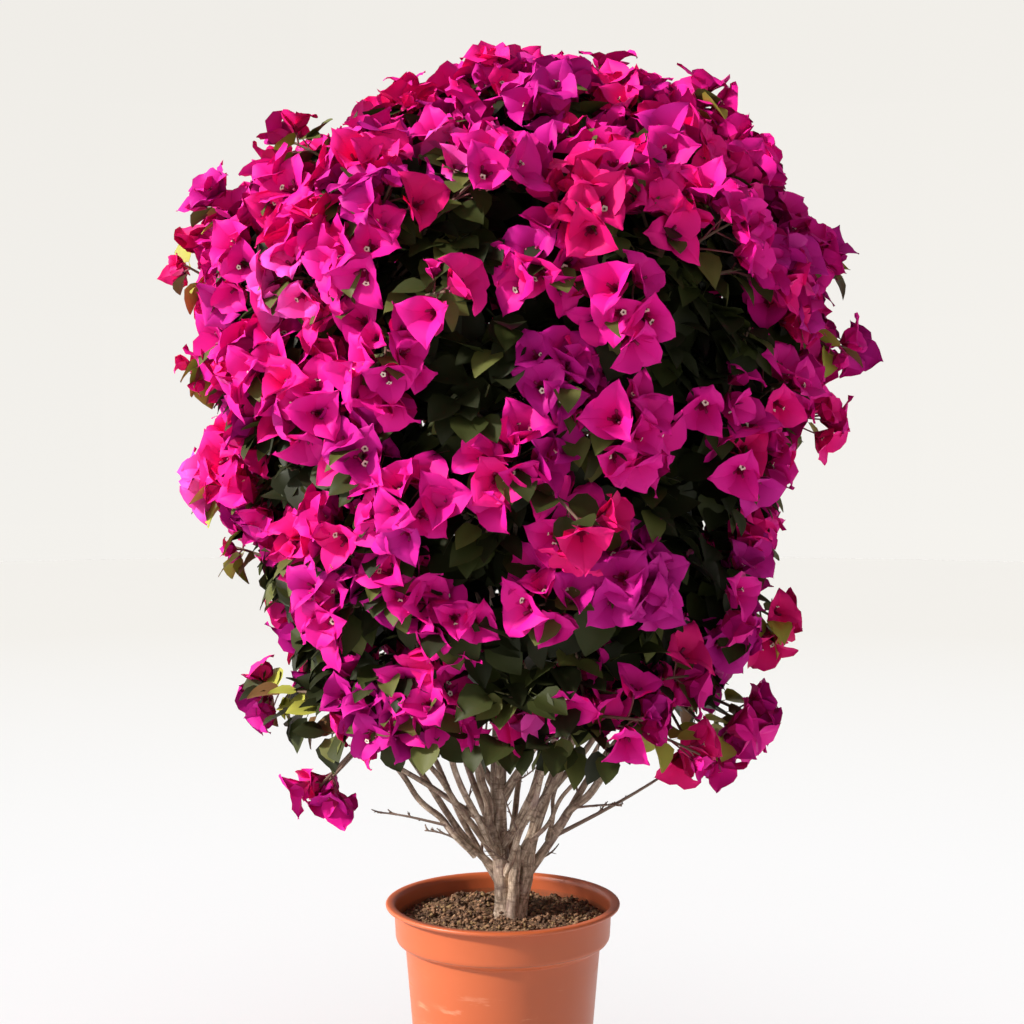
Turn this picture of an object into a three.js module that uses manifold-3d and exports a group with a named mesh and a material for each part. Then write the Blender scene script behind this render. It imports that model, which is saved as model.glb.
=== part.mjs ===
// A bougainvillea bush in a round nursery pot: one short trunk that forks low into a fan of boughs, under a
// dense egg-shaped crown of magenta bracts and dark green leaves.
//
// Millimetres, +Z up. The origin is the centre of the pot's flat underside, and the plant's front faces -Y.
//
// The crown's outline is a profile turned about an upright axis. A golden-angle spiral shares that surface
// out evenly between twigs, and each twig grows from the mass of foliage whose centre is nearest to its end.
// Each mass keeps to the points that are nearer to its own centre than to any other, so that no two meet.

import * as THREE from 'three';
import { mergeVertices } from 'three/addons/utils/BufferGeometryUtils.js';
import Module from 'manifold-3d';

const wasm = await Module();
wasm.setup();

// ---------------------------------------------------------------- driving dimensions

const CLEARANCE = 0.3; // between solids that touch on the real plant
const GOLDEN_ANGLE = Math.PI * (3 - Math.sqrt(5));
const GOLDEN_SHARE = (Math.sqrt(5) - 1) / 2;

// Corners of the pot's outside are given as radius and height.
const POT = {
  wall: 1.8,
  floor: 3,
  foot: [81.5, 0],
  shoulder: [95.2, 160], // where the tapered body turns out into the collar
  turn: [102.5, 168.4], // on the collar's round foot
  collar: [105, 174],
  lip: [[106.6, 201], [112, 202], [115, 205.6], [113.8, 209.2], [110.8, 210], [104.8, 207.5]],
  segments: 40,
  holes: 6,
  holeRadius: 5,
  holeRing: 56,
  holeSides: 8,
};

const SOIL = {
  surface: 195, // height of the level seat that the trunk stands on
  seatRadius: 24,
  edgeDrop: 5, // how much lower the soil lies at the pot's wall
  slope: [[1, 1], [0.8, 0.5], [0.6, 0.1], [0.42, 0]], // share of that drop at each share of the radius
  waves: [[0.21, 0.13, 0], [-0.11, 0.27, 2], [0.09, 0.31, 0]], // pace along X, pace along Y and start
  waveHeight: 1.1,
  slack: 0.8, // what its coarser ring stands back from the pot's round wall
  segments: 24,
};

const TRUNK = {
  foot: new THREE.Vector3(6, 0, 180), // of its centreline, under the soil on which it is cut flat
  pull: new THREE.Vector3(-28, 0, 420), // towards which it leans as it leaves the foot
  upperPull: 0.3, // where along the way from its tip back to its foot the curve's other pull stands
  footRadius: 9.5,
  tipRadius: 3,
  flare: 7, // extra radius of the root flare at the soil
  flareHeight: 12,
  sides: 10,
  steps: 12,
};

const BOUGH = {
  sides: 5,
  stepLength: 55,
  leastSteps: 4,
  entryPull: 0.25, // the share of its span over which it turns into its mass's direction
};

// The crown's profile, from the hollow underside to the top, as radius, height and how far its ring stands
// off the pot's axis towards +X.
const CROWN_PROFILE = [
  [96, 372, 8],
  [180, 350, 10],
  [238, 388, 10],
  [256, 460, 0],
  [276, 540, 0],
  [292, 620, -4],
  [312, 700, 10],
  [322, 770, 8],
  [320, 835, 2],
  [292, 895, -4],
  [236, 948, 14],
  [176, 992, 38],
  [104, 1020, 46],
  [0, 1034, 46],
];

const CROWN_FOOT = 350;
const CROWN_HEART = new THREE.Vector3(0, 0, 680);
const UNDERSIDE = 0.1; // the share of the profile that lies under the crown
const AREA_STEPS = 600; // into which the profile is cut to add up the crown's area
const SEARCH_STEPS = { profile: 300, limb: 200 }; // of a search along a curve for a height

// Masses of foliage stand in rings, one ring to a tier. A tier's boughs leave the trunk between the two
// heights in `from`, at `tilt` from the vertical, hold that course for about the `pull` share of their span,
// and enter their mass at `rise` above the horizontal. The first bough of a tier is `stout` times as thick at
// its base as the others. `leafShare` is the share of twigs that end in leaves.
const TIERS = [
  {
    name: 'skirt', count: 5, phase: 4, height: 425, reach: 0.74, rise: 35,
    from: [207, 250], tilt: 42, pull: 0.42, baseRadius: 4.4, tipRadius: 2.6, stout: 1.5, leafShare: 0.45,
  },
  {
    name: 'lower_flank', count: 6, phase: 0, height: 545, reach: 0.76, rise: 48,
    from: [262, 228], tilt: 47, pull: 0.5, baseRadius: 4.4, tipRadius: 2.6, stout: 1, leafShare: 0.2,
  },
  {
    name: 'upper_flank', count: 6, phase: 32, height: 672, reach: 0.76, rise: 52,
    from: [300, 356], tilt: 36, pull: 0.42, baseRadius: 4.4, tipRadius: 2.6, stout: 1, leafShare: 0.2,
  },
  {
    name: 'shoulder', count: 6, phase: 2, height: 806, reach: 0.74, rise: 52,
    from: [400, 560], tilt: 34, pull: 0.42, baseRadius: 4.6, tipRadius: 2.6, stout: 1, leafShare: 0,
  },
  {
    name: 'crest', count: 3, phase: 90, height: 922, reach: 0.56, rise: 64,
    from: [640, 700], tilt: 32, pull: 0.42, baseRadius: 4, tipRadius: 2.6, stout: 1, leafShare: 0,
  },
  { name: 'crest_top', count: 1, phase: 0, height: 980, reach: 0, rise: 90, leafShare: 0 },
];

const MASS = {
  seed: 44,
  stemLength: 70,
  stemRadius: 2.6,
  stemTipRadius: 1.8,
  stemSides: 5,
  twigs: 225, // over the whole crown
  twigsLeave: [0.3, 0.97], // the shares of the stem that they leave it between
  twigRadius: 2,
  twigTipRadius: 1.5,
  inset: [16, 44], // how far the twigs' tips stay inside the crown's profile
  alongTwig: 1.1, // how much a whorl faces along its twig, against 1 for the way out of the crown
  astray: 0.4, // and how much it faces a way of its own
  bladeRise: 50,
  leavesLeave: [0.4, 0.8], // the shares of the twig that its leaf leaves it between
  leafRise: -15,
  sizes: [1, 0.88, 0.76, 0.64], // tried in turn for a leaf or a whorl
  turns: 4, // tried in turn round its root
  finest: 0.5, // edges shorter than this are closed up
};

// The dense leafage inside a mass, which its twigs stand out of.
const CORE = {
  most: 110, // reach from the mass's centre
  inset: 56, // inside the crown's profile
  gap: 7, // to the planes that part the masses
  limbGap: 2, // cut clear round the trunk and boughs
  limbRoom: 2.5, // kept from their surface by its corners
  limbStep: 6, // between the points of a limb that it keeps clear of
  step: 5, // of the search for how far it reaches
  detail: 1, // how often the faces of an icosahedron are split
};

// Shoots whose tips stand out of the crown's outline: azimuth, distance from the pot's axis, and height.
const SHOOTS = [
  [186, 280, 906],
  [178, 302, 836],
  [192, 210, 955],
  [174, 304, 724],
  [184, 284, 623],
  [176, 266, 557],
  [188, 236, 418],
  [196, 186, 328],
  [354, 206, 980],
  [4, 324, 835],
  [352, 328, 750],
  [8, 322, 687],
  [356, 270, 487],
  [350, 238, 390],
  [82, 320, 800],
  [104, 302, 610],
  [62, 272, 450],
  [262, 318, 780],
  [284, 290, 590],
  [118, 246, 930],
];

// A whorl is three blades in a cup, joined edge to edge as far as the notch between them. `opening` is the
// angle between a blade and the way that the cup faces.
const BRACTS = { length: 60, notch: 36, thickness: 3, opening: 62 };
const LEAVES = { length: 60, notch: 24, thickness: 3, opening: 78 };

// A single leaf is widest at `broadest` of its length, where its edges stand `fold` of its width over its
// midrib, and its tip hangs by `droop` of its length.
const LEAF = { length: 58, width: 46, thickness: 2, broadest: 0.4, fold: 0.14, droop: 0.06 };

const MATERIALS = {
  pot: new THREE.MeshStandardMaterial({ color: 0xc9683f, roughness: 0.45, metalness: 0 }),
  soil: new THREE.MeshStandardMaterial({ color: 0x4a2f20, roughness: 1, metalness: 0 }),
  bark: new THREE.MeshStandardMaterial({ color: 0x86705e, roughness: 0.9, metalness: 0 }),
  blossom: new THREE.MeshStandardMaterial({ color: 0xc8147c, roughness: 0.6, metalness: 0 }),
  leaf: new THREE.MeshStandardMaterial({ color: 0x35411c, roughness: 0.55, metalness: 0 }),
};

// ---------------------------------------------------------------- numbers and directions

const radians = THREE.MathUtils.degToRad;
const between = (low, high, share) => low + (high - low) * share;
const shares = (steps) => Array.from({ length: steps + 1 }, (_, i) => i / steps);

function aimed(azimuthDegrees, riseDegrees) {
  const azimuth = radians(azimuthDegrees);
  const rise = radians(riseDegrees);
  return new THREE.Vector3(
    Math.cos(azimuth) * Math.cos(rise),
    Math.sin(azimuth) * Math.cos(rise),
    Math.sin(rise),
  );
}

// The part of a direction that is square to another one, as a unit vector.
function squareTo(direction, axis) {
  return direction.clone().addScaledVector(axis, -direction.dot(axis)).normalize();
}

// A seeded stream of numbers from 0 to 1.
function stream(seed) {
  const modulus = 2147483647;
  let state = (seed * 48271 + 11) % modulus;
  const draw = () => {
    state = (state * 16807) % modulus;
    return state / modulus;
  };
  draw();
  draw();
  return draw;
}

// ---------------------------------------------------------------- solids and meshes

// A geometry's corners and triangles alone, with the corners that it repeats merged.
function mergedGeometry(geometry) {
  return mergeVertices(geometry.clone().deleteAttribute('normal').deleteAttribute('uv'));
}

function solidOf(geometry) {
  const merged = mergedGeometry(geometry);
  return new wasm.Manifold(
    new wasm.Mesh({
      numProp: 3,
      vertProperties: merged.attributes.position.array,
      triVerts: new Uint32Array(merged.index.array),
    }),
  );
}

function geometryOf(solid) {
  const mesh = solid.getMesh();
  return new THREE.BufferGeometry()
    .setAttribute('position', new THREE.BufferAttribute(mesh.vertProperties, 3))
    .setIndex(new THREE.BufferAttribute(mesh.triVerts, 1));
}

// The largest body of a solid, so that a scrap left over by a cut is dropped.
function largest(solid) {
  return solid.decompose().sort((a, b) => b.volume() - a.volume())[0];
}

function named(name, solid, material) {
  const mesh = new THREE.Mesh(geometryOf(solid), material);
  mesh.name = name;
  return mesh;
}

// A closed surface from corners and triangles.
function closed(corners, triangles) {
  const places = corners.flatMap((corner) => corner.toArray());
  return new THREE.BufferGeometry()
    .setAttribute('position', new THREE.Float32BufferAttribute(places, 3))
    .setIndex(triangles);
}

// Calls `moved` with each corner of a geometry and puts the corner where that says.
function moveCorners(geometry, moved) {
  const place = geometry.attributes.position;
  for (let i = 0; i < place.count; i++) {
    const corner = moved(new THREE.Vector3().fromBufferAttribute(place, i));
    place.setXYZ(i, corner.x, corner.y, corner.z);
  }
  return geometry;
}

// A surface of revolution about +Z from an outline of [radius, height].
function lathe(outline, segments) {
  const points = outline.map(([radius, height]) => new THREE.Vector2(radius, height));
  return new THREE.LatheGeometry(points, segments).rotateX(Math.PI / 2);
}

// ---------------------------------------------------------------- the pot and its soil

function pot() {
  const { wall, floor, foot, shoulder, turn, collar, lip } = POT;
  const inside = [collar, turn, shoulder].map(([radius, height]) => [radius - wall, height + wall / 2]);
  const bottom = [[foot[0] - wall, floor], [0, floor]];
  const outline = [[0, 0], foot, shoulder, turn, collar, ...lip, ...inside, ...bottom];
  const drills = Array.from({ length: POT.holes }, (_, i) => {
    const at = aimed((360 / POT.holes) * i, 0).multiplyScalar(POT.holeRing);
    const drill = new THREE.CylinderGeometry(POT.holeRadius, POT.holeRadius, 4 * floor, POT.holeSides);
    return solidOf(drill.rotateX(Math.PI / 2).translate(at.x, at.y, at.z));
  });
  return solidOf(lathe(outline, POT.segments)).subtract(wasm.Manifold.union(drills));
}

// The soil fills the pot. Its top has a level seat for the trunk and lumps all round it.
function soil() {
  const { surface, seatRadius, edgeDrop, slope, waves, waveHeight } = SOIL;
  const gap = POT.wall + CLEARANCE + SOIL.slack;
  const base = POT.floor + CLEARANCE;
  const rim = POT.collar[0] - gap;
  const outline = [
    [0, base],
    [POT.foot[0] - gap, base],
    [POT.shoulder[0] - gap, POT.shoulder[1]],
    [rim, POT.collar[1] + gap],
    ...slope.map(([radiusShare, dropShare]) => [rim * radiusShare, surface - edgeDrop * dropShare]),
    [seatRadius, surface],
    [0, surface],
  ];
  const isLumpy = ({ x, y, z }) => z > surface - edgeDrop && Math.hypot(x, y) > seatRadius + CLEARANCE;
  const waveAt = ({ x, y }) =>
    waves.reduce((sum, [alongX, alongY, start]) => sum + Math.sin(x * alongX + y * alongY + start), 0);
  return solidOf(
    moveCorners(lathe(outline, SOIL.segments), (corner) =>
      isLumpy(corner) ? corner.setZ(corner.z + waveAt(corner) * waveHeight) : corner,
    ),
  );
}

// ---------------------------------------------------------------- the trunk and boughs

// One tapering limb with flat ends: a cylinder whose rings are carried along a curve.
function limbSolid({ curve, radiusAt, sides, steps }, extra = 0) {
  const frames = curve.computeFrenetFrames(steps, false);
  return solidOf(
    moveCorners(new THREE.CylinderGeometry(1, 1, 1, sides, steps), ({ x, y, z }) => {
      const along = y + 0.5; // 0 at the foot and 1 at the tip
      const step = Math.round(along * steps);
      const radius = radiusAt(along) + extra;
      return curve
        .getPoint(along)
        .addScaledVector(frames.binormals[step], x * radius)
        .addScaledVector(frames.normals[step], z * radius);
    }),
  );
}

function trunkLimb(tip) {
  const { foot, pull, footRadius, tipRadius, flare, flareHeight, sides, steps } = TRUNK;
  const upperPull = tip.clone().lerp(foot, TRUNK.upperPull).setX(tip.x);
  const curve = new THREE.CubicBezierCurve3(foot, pull, upperPull, tip);
  const radiusAt = (along) => {
    const above = Math.max(0, curve.getPoint(along).z - SOIL.surface);
    return between(footRadius, tipRadius, along) + flare * Math.exp(-above / flareHeight);
  };
  return { name: 'trunk', curve, radiusAt, sides, steps };
}

// Where a limb's centreline passes a height.
function pointAtHeight({ curve }, height) {
  const passed = shares(SEARCH_STEPS.limb).find((share) => curve.getPoint(share).z >= height);
  return curve.getPoint(passed ?? 1);
}

// A bough runs from the trunk to the foot of its mass's stem.
function boughLimb({ name, tier, index, azimuth, direction, stemFoot }, trunk) {
  const start = pointAtHeight(trunk, between(...tier.from, (index * GOLDEN_SHARE) % 1));
  const end = stemFoot.clone().addScaledVector(direction, -CLEARANCE);
  const span = start.distanceTo(end);
  const curve = new THREE.CubicBezierCurve3(
    start,
    start.clone().addScaledVector(aimed(azimuth, 90 - tier.tilt), span * tier.pull),
    end.clone().addScaledVector(direction, -span * BOUGH.entryPull),
    end,
  );
  const baseRadius = tier.baseRadius * (index === 0 ? tier.stout : 1);
  const radiusAt = (along) => between(baseRadius, tier.tipRadius, along);
  const steps = Math.max(BOUGH.leastSteps, Math.round(span / BOUGH.stepLength));
  return { name: `bough_${name}`, curve, radiusAt, sides: BOUGH.sides, steps };
}

// Points along a limb close enough together to test against.
function samplesOf({ curve, radiusAt }) {
  const count = Math.ceil(curve.getLength() / CORE.limbStep);
  return shares(count).map((share) => ({ at: curve.getPoint(share), radius: radiusAt(share) }));
}

// ---------------------------------------------------------------- the crown's outline and masses

// The profile as a curve whose points hold a ring's radius, its shift towards +X and its height.
const profile = new THREE.CatmullRomCurve3(
  CROWN_PROFILE.map(([radius, height, shift]) => new THREE.Vector3(radius, shift, height)),
  false,
  'catmullrom',
);

// The share of the profile at which it passes a height, above the hollow underside.
function shareAtHeight(height) {
  const passes = (share) => share > UNDERSIDE && profile.getPoint(share).z >= height;
  return shares(SEARCH_STEPS.profile).find(passes) ?? 1;
}

// The crown's surface point and outward normal at a share of the profile and an azimuth in radians.
function onCrown(share, azimuth) {
  const { x: radius, y: shift, z: height } = profile.getPoint(share);
  const tangent = profile.getTangent(share);
  const across = new THREE.Vector3(Math.cos(azimuth), Math.sin(azimuth), 0);
  return {
    point: across.clone().multiplyScalar(radius).add(new THREE.Vector3(shift, 0, height)),
    normal: across.multiplyScalar(tangent.z).setZ(-tangent.x).normalize(),
  };
}

// Shares of the profile that cut the crown's surface into bands of equal area, one to a twig.
function evenShares(count) {
  const line = shares(AREA_STEPS).map((share) => profile.getPoint(share));
  const sums = [0];
  line.slice(1).forEach((point, i) => {
    const before = line[i];
    sums.push(sums[i] + before.distanceTo(point) * Math.max(0, (before.x + point.x) / 2));
  });
  return Array.from({ length: count }, (_, k) => {
    const wanted = ((k + 0.5) / count) * sums[AREA_STEPS];
    return sums.findIndex((sum) => sum >= wanted) / AREA_STEPS;
  });
}

function massesOf(tiers) {
  return tiers.flatMap((tier) =>
    Array.from({ length: tier.count }, (_, index) => {
      const azimuth = tier.phase + (360 / tier.count) * index;
      const { x: radius, y: shift } = profile.getPoint(shareAtHeight(tier.height));
      const centre = aimed(azimuth, 0)
        .multiplyScalar(radius * tier.reach)
        .add(new THREE.Vector3(shift, 0, tier.height));
      const direction = aimed(azimuth, tier.rise);
      const stemFoot = centre.clone().addScaledVector(direction, -MASS.stemLength);
      const name = tier.count > 1 ? `${tier.name}_${index + 1}` : tier.name;
      return { name, tier, index, azimuth, centre, direction, stemFoot };
    }),
  );
}

// The ends that the crown's twigs grow to: the even spiral, then the shoots that stand out of the outline.
function twigEnds() {
  const spiral = evenShares(MASS.twigs).map((share, k) => onCrown(share, k * GOLDEN_ANGLE));
  const shoots = SHOOTS.map(([azimuth, radius, height]) => ({
    point: aimed(azimuth, 0).multiplyScalar(radius).setZ(height),
    normal: onCrown(shareAtHeight(height), radians(azimuth)).normal,
    isShoot: true,
  }));
  return [...spiral, ...shoots].map((end, k) => ({ ...end, seed: MASS.seed + k }));
}

// Whether a point is on this mass's side of the planes halfway to the other masses' centres, with a gap to
// spare.
function inSpace(point, mass, masses, gap = CLEARANCE) {
  return masses.every((other) => {
    if (other === mass) return true;
    const apart = other.centre.distanceTo(mass.centre);
    const lead = point.distanceToSquared(other.centre) - point.distanceToSquared(mass.centre);
    return lead / (2 * apart) > gap;
  });
}

// Whether a point is at least so far inside the crown's profile, measured away from the crown's heart.
function insideCrown(point, inset) {
  const outer = point.clone().sub(CROWN_HEART).setLength(inset).add(point);
  const { x: radius, y: shift } = profile.getPoint(shareAtHeight(outer.z));
  return outer.z > CROWN_FOOT && Math.hypot(outer.x - shift, outer.y) < radius;
}

function clearOfLimbs(point, limbs) {
  return limbs.every(({ samples }) =>
    samples.every(({ at, radius }) => at.distanceTo(point) > radius + CORE.limbRoom),
  );
}

// ---------------------------------------------------------------- twigs, whorls and leaves

// A twig from `start` to `tip` that widens into a whorl of three blades. The whorl faces along `facing`, and
// the middle of one blade lies as near to `upwards` as it can. The corners are three round the twig's root,
// three round its neck, then tip, notch, tip, notch, tip and notch round the rim, and the whorl's middle.
function sprayGeometry({ length, notch, thickness, opening }, start, tip, facing, upwards, size) {
  const along = tip.clone().sub(start).normalize();
  const tilt = radians(opening);
  const first = squareTo(upwards, facing);
  const turned = (i) => first.clone().applyAxisAngle(facing, (i * Math.PI) / 3);
  const outwards = [0, 1, 2, 3, 4, 5].map(turned);
  const rim = outwards.map((outward, i) => {
    const reach = size * (i % 2 ? notch : length);
    return tip
      .clone()
      .addScaledVector(outward, reach * Math.sin(tilt))
      .addScaledVector(facing, reach * Math.cos(tilt));
  });
  const blades = outwards.filter((_, i) => i % 2 === 0);
  const neck = blades.map((outward) => tip.clone().addScaledVector(outward, MASS.twigTipRadius));
  const root = blades.map((outward) =>
    start.clone().addScaledVector(squareTo(outward, along), MASS.twigRadius),
  );
  const middle = tip.clone().addScaledVector(facing, thickness);
  const corners = [...root, ...neck, ...rim, middle];
  const last = corners.length - 1;

  const triangles = [2, 1, 0];
  for (let i = 0; i < 3; i++) {
    const next = (i + 1) % 3;
    const [rootHere, rootNext, neckHere, neckNext] = [i, next, 3 + i, 3 + next];
    const [bladeTip, notchHere, nextTip] = [6 + 2 * i, 7 + 2 * i, 6 + 2 * next];
    triangles.push(rootHere, rootNext, neckHere, rootNext, neckNext, neckHere);
    triangles.push(neckHere, notchHere, bladeTip, neckHere, neckNext, notchHere);
    triangles.push(neckNext, nextTip, notchHere);
    triangles.push(bladeTip, notchHere, last, notchHere, nextTip, last);
  }
  return closed(corners, triangles);
}

// A pointed heart-shaped leaf along +Y, folded a little along its midrib.
function leafBlade() {
  const { length, width, thickness, broadest, fold, droop } = LEAF;
  const outline = [
    new THREE.Vector3(0, 0, 0),
    new THREE.Vector3(width / 2, length * broadest, width * fold),
    new THREE.Vector3(0, length, -length * droop),
    new THREE.Vector3(-width / 2, length * broadest, width * fold),
  ];
  const above = new THREE.Vector3(0, length * broadest, thickness / 2);
  const below = new THREE.Vector3(0, length * broadest, -thickness / 2);
  const triangles = outline.flatMap((_, i) => {
    const next = (i + 1) % outline.length;
    return [i, next, outline.length, next, i, outline.length + 1];
  });
  return closed([...outline, above, below], triangles);
}

const LEAF_BLADE = leafBlade();

// The leaf blade scaled, with its root at `at`, its length along `out` and its face turned up.
function leafGeometry(at, out, size) {
  const side = new THREE.Vector3().crossVectors(out, new THREE.Vector3(0, 0, 1)).normalize();
  const face = new THREE.Vector3().crossVectors(side, out);
  const matrix = new THREE.Matrix4().makeBasis(side, out, face).scale(new THREE.Vector3(size, size, size));
  return LEAF_BLADE.clone().applyMatrix4(matrix.setPosition(at));
}

function cornersOf(geometry) {
  const place = geometry.attributes.position;
  return Array.from({ length: place.count }, (_, i) => new THREE.Vector3().fromBufferAttribute(place, i));
}

// ---------------------------------------------------------------- the masses of foliage

// A lump round the mass's centre that fills its space as far as the sizes in CORE allow.
function coreSolid(mass, masses, limbs) {
  const pointAt = (away, reach) => mass.centre.clone().addScaledVector(away, reach);
  const inside = (point) =>
    inSpace(point, mass, masses, CORE.gap) && insideCrown(point, CORE.inset) && clearOfLimbs(point, limbs);
  const ball = mergedGeometry(new THREE.IcosahedronGeometry(1, CORE.detail));
  const lump = moveCorners(ball, (corner) => {
    const away = corner.normalize();
    let reach = CORE.step;
    while (reach < CORE.most && inside(pointAt(away, reach + CORE.step))) reach += CORE.step;
    return pointAt(away, reach);
  });
  return limbs.reduce((left, limb) => left.subtract(limbSolid(limb, CORE.limbGap)), solidOf(lump));
}

// One mass of foliage: a stem, and twigs that leave it one above another, each with a whorl at its tip and a
// leaf on its way. A piece takes the first size and turn at which it keeps to the mass's space and crosses no
// other piece, and is left out if there is none.
function massSolid(mass, ends, masses, limbs) {
  const stemTip = mass.stemFoot.clone().addScaledVector(mass.direction, MASS.stemLength);
  const stemLine = new THREE.LineCurve3(mass.stemFoot, stemTip);
  const radiusAt = (along) => between(MASS.stemRadius, MASS.stemTipRadius, along);
  const stem = limbSolid({ curve: stemLine, radiusAt, sides: MASS.stemSides, steps: 1 });
  const pieces = []; // each with the twig that it is on

  // A mass's space is convex, so a piece keeps to it where its corners do.
  const fits = (points) => points.every((point) => inSpace(point, mass, masses));
  const meets = (solid, other) => !solid.intersect(other).isEmpty();
  const crosses = (solid, twig) =>
    pieces.some((piece) => piece.twig !== twig && meets(solid, piece.solid)) ||
    limbs.some((limb) => meets(solid, limb.cutter));
  const addFirstThatFits = (twig, shapeAt) => {
    for (const size of MASS.sizes) {
      for (let turn = 0; turn < MASS.turns; turn++) {
        const shape = shapeAt(size, turn / MASS.turns);
        if (!fits(cornersOf(shape))) continue;
        const solid = solidOf(shape);
        if (!crosses(solid, twig)) return pieces.push({ solid, twig });
      }
    }
    return 0;
  };

  const own = ends.filter((end) => end.mass === mass);
  own.sort((a, b) => a.point.dot(mass.direction) - b.point.dot(mass.direction));
  own.forEach(({ point, normal, isShoot, seed }, k) => {
    const draw = stream(seed);
    const inset = between(...MASS.inset, draw()) * (isShoot ? 0 : 1);
    const tip = point.clone().addScaledVector(normal, -inset);
    const start = stemLine.getPoint(between(...MASS.twigsLeave, (k + 0.5) / own.length));
    const twig = new THREE.LineCurve3(start, tip);

    const astray = aimed(between(0, 360, draw()), between(-30, 60, draw()));
    const facing = normal
      .clone()
      .addScaledVector(twig.getTangent(0), MASS.alongTwig)
      .addScaledVector(astray, MASS.astray)
      .normalize();
    const upwards = aimed(between(0, 360, draw()), MASS.bladeRise);
    const whorl = draw() < mass.tier.leafShare && !isShoot ? LEAVES : BRACTS;
    const added = addFirstThatFits(twig, (size, turn) => {
      const turned = upwards.clone().applyAxisAngle(facing, (turn * 2 * Math.PI) / 3);
      return sprayGeometry(whorl, start, tip, facing, turned, size);
    });
    if (!added) return;
    const heading = between(0, 360, draw());
    const root = twig.getPoint(between(...MASS.leavesLeave, draw()));
    addFirstThatFits(twig, (size, turn) => {
      const out = aimed(heading + 360 * turn, MASS.leafRise);
      return leafGeometry(root, out, size);
    });
  });

  const core = coreSolid(mass, masses, limbs);
  const joined = wasm.Manifold.union([stem, core, ...pieces.map((piece) => piece.solid)]);
  return largest(joined.simplify(MASS.finest));
}

// ---------------------------------------------------------------- the whole plant

const masses = massesOf(TIERS);
const top = masses.find((mass) => mass.tier.name === 'crest_top');
const trunk = trunkLimb(top.stemFoot.clone().addScaledVector(top.direction, -CLEARANCE));
const boughs = masses.filter((mass) => mass !== top).map((mass) => boughLimb(mass, trunk));
const limbs = [trunk, ...boughs].map((limb) => ({
  ...limb,
  samples: samplesOf(limb),
  cutter: limbSolid(limb, CLEARANCE),
}));

const plant = new THREE.Group();
plant.name = 'bougainvillea_bush';
plant.add(named('pot', pot(), MATERIALS.pot), named('soil', soil(), MATERIALS.soil));

// The trunk is cut flat on the soil. Each bough is cut back from the limbs before it, so that its foot stands
// clear of what carries it.
limbs.forEach((limb, i) => {
  const whole = limbSolid(limb).trimByPlane([0, 0, 1], SOIL.surface + CLEARANCE);
  const solid = limbs.slice(0, i).reduce((left, earlier) => left.subtract(earlier.cutter), whole);
  plant.add(named(limb.name, largest(solid), MATERIALS.bark));
});

function nearestMass(point) {
  const distances = masses.map((mass) => point.distanceTo(mass.centre));
  return masses[distances.indexOf(Math.min(...distances))];
}

const ends = twigEnds().map((end) => ({ ...end, mass: nearestMass(end.point) }));
for (const mass of masses) {
  const material = mass.tier.name === 'skirt' ? MATERIALS.leaf : MATERIALS.blossom;
  plant.add(named(`foliage_${mass.name}`, massSolid(mass, ends, masses, limbs), material));
}

export default plant;
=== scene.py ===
"""A bougainvillea bush in its nursery pot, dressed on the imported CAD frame.

Lengths are millimetres until a mesh is made, which turns them into metres. +Z is up and the plant's front
faces -Y. The crown grows by the rule of the part's source: boughs leave the trunk, a stem carries on from
each bough, and twigs run from the stem to ends that a golden-angle spiral shares out over the crown's
surface. Here each twig then carries on to finer stalks with leaves, flowers and buds.
"""

import math
from collections import namedtuple
from types import SimpleNamespace

import bmesh
import bpy
import numpy as np
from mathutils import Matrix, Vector


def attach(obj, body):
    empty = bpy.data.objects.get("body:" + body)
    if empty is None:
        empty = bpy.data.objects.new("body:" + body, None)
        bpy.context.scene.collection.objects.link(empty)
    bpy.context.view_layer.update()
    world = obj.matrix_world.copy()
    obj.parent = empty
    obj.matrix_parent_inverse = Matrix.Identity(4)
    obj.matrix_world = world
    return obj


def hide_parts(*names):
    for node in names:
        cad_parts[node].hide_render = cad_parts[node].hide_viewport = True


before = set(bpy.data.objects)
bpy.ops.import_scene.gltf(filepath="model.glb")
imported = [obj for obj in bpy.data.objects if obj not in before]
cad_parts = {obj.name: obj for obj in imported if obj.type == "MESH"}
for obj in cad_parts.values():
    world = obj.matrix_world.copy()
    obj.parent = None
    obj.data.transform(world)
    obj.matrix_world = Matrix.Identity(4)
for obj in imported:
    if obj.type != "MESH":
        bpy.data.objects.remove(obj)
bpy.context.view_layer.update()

MM = 0.001
GOLDEN_ANGLE = math.pi * (3 - math.sqrt(5))
GOLDEN_SHARE = (math.sqrt(5) - 1) / 2
MOST_TRIANGLES = 190_000  # in one joined piece
PHASES = 6.3  # radians, just over a full turn, that a wave's start is drawn from

# ---------------------------------------------------------------- sizes repeated from the part's source

CLEARANCE = 0.3
SOIL_SURFACE = 195
SOIL_EDGE_DROP = 5
POT_WALL = 1.8
POT_RIM_RADIUS = 105  # outside, at the foot of the collar
POT_COLLAR_HEIGHT = 174

TRUNK_FOOT = (6, 0, 180)
TRUNK_PULL = (-28, 0, 420)
TRUNK_UPPER_PULL = 0.3  # where along the way from its tip to its foot the curve's other pull stands
TRUNK_RADII = (9.5, 3)
TRUNK_FLARE = 7
TRUNK_FLARE_HEIGHT = 12
BOUGH_ENTRY_PULL = 0.25  # the share of its span over which a bough turns into its mass's direction

# Radius, height and shift towards +X of the crown's rings, from its hollow underside to its top.
CROWN_PROFILE = [
    (96, 372, 8), (180, 350, 10), (238, 388, 10), (256, 460, 0), (276, 540, 0),
    (292, 620, -4), (312, 700, 10), (322, 770, 8), (320, 835, 2), (292, 895, -4),
    (236, 948, 14), (176, 992, 38), (104, 1020, 46), (0, 1034, 46),
]

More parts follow.
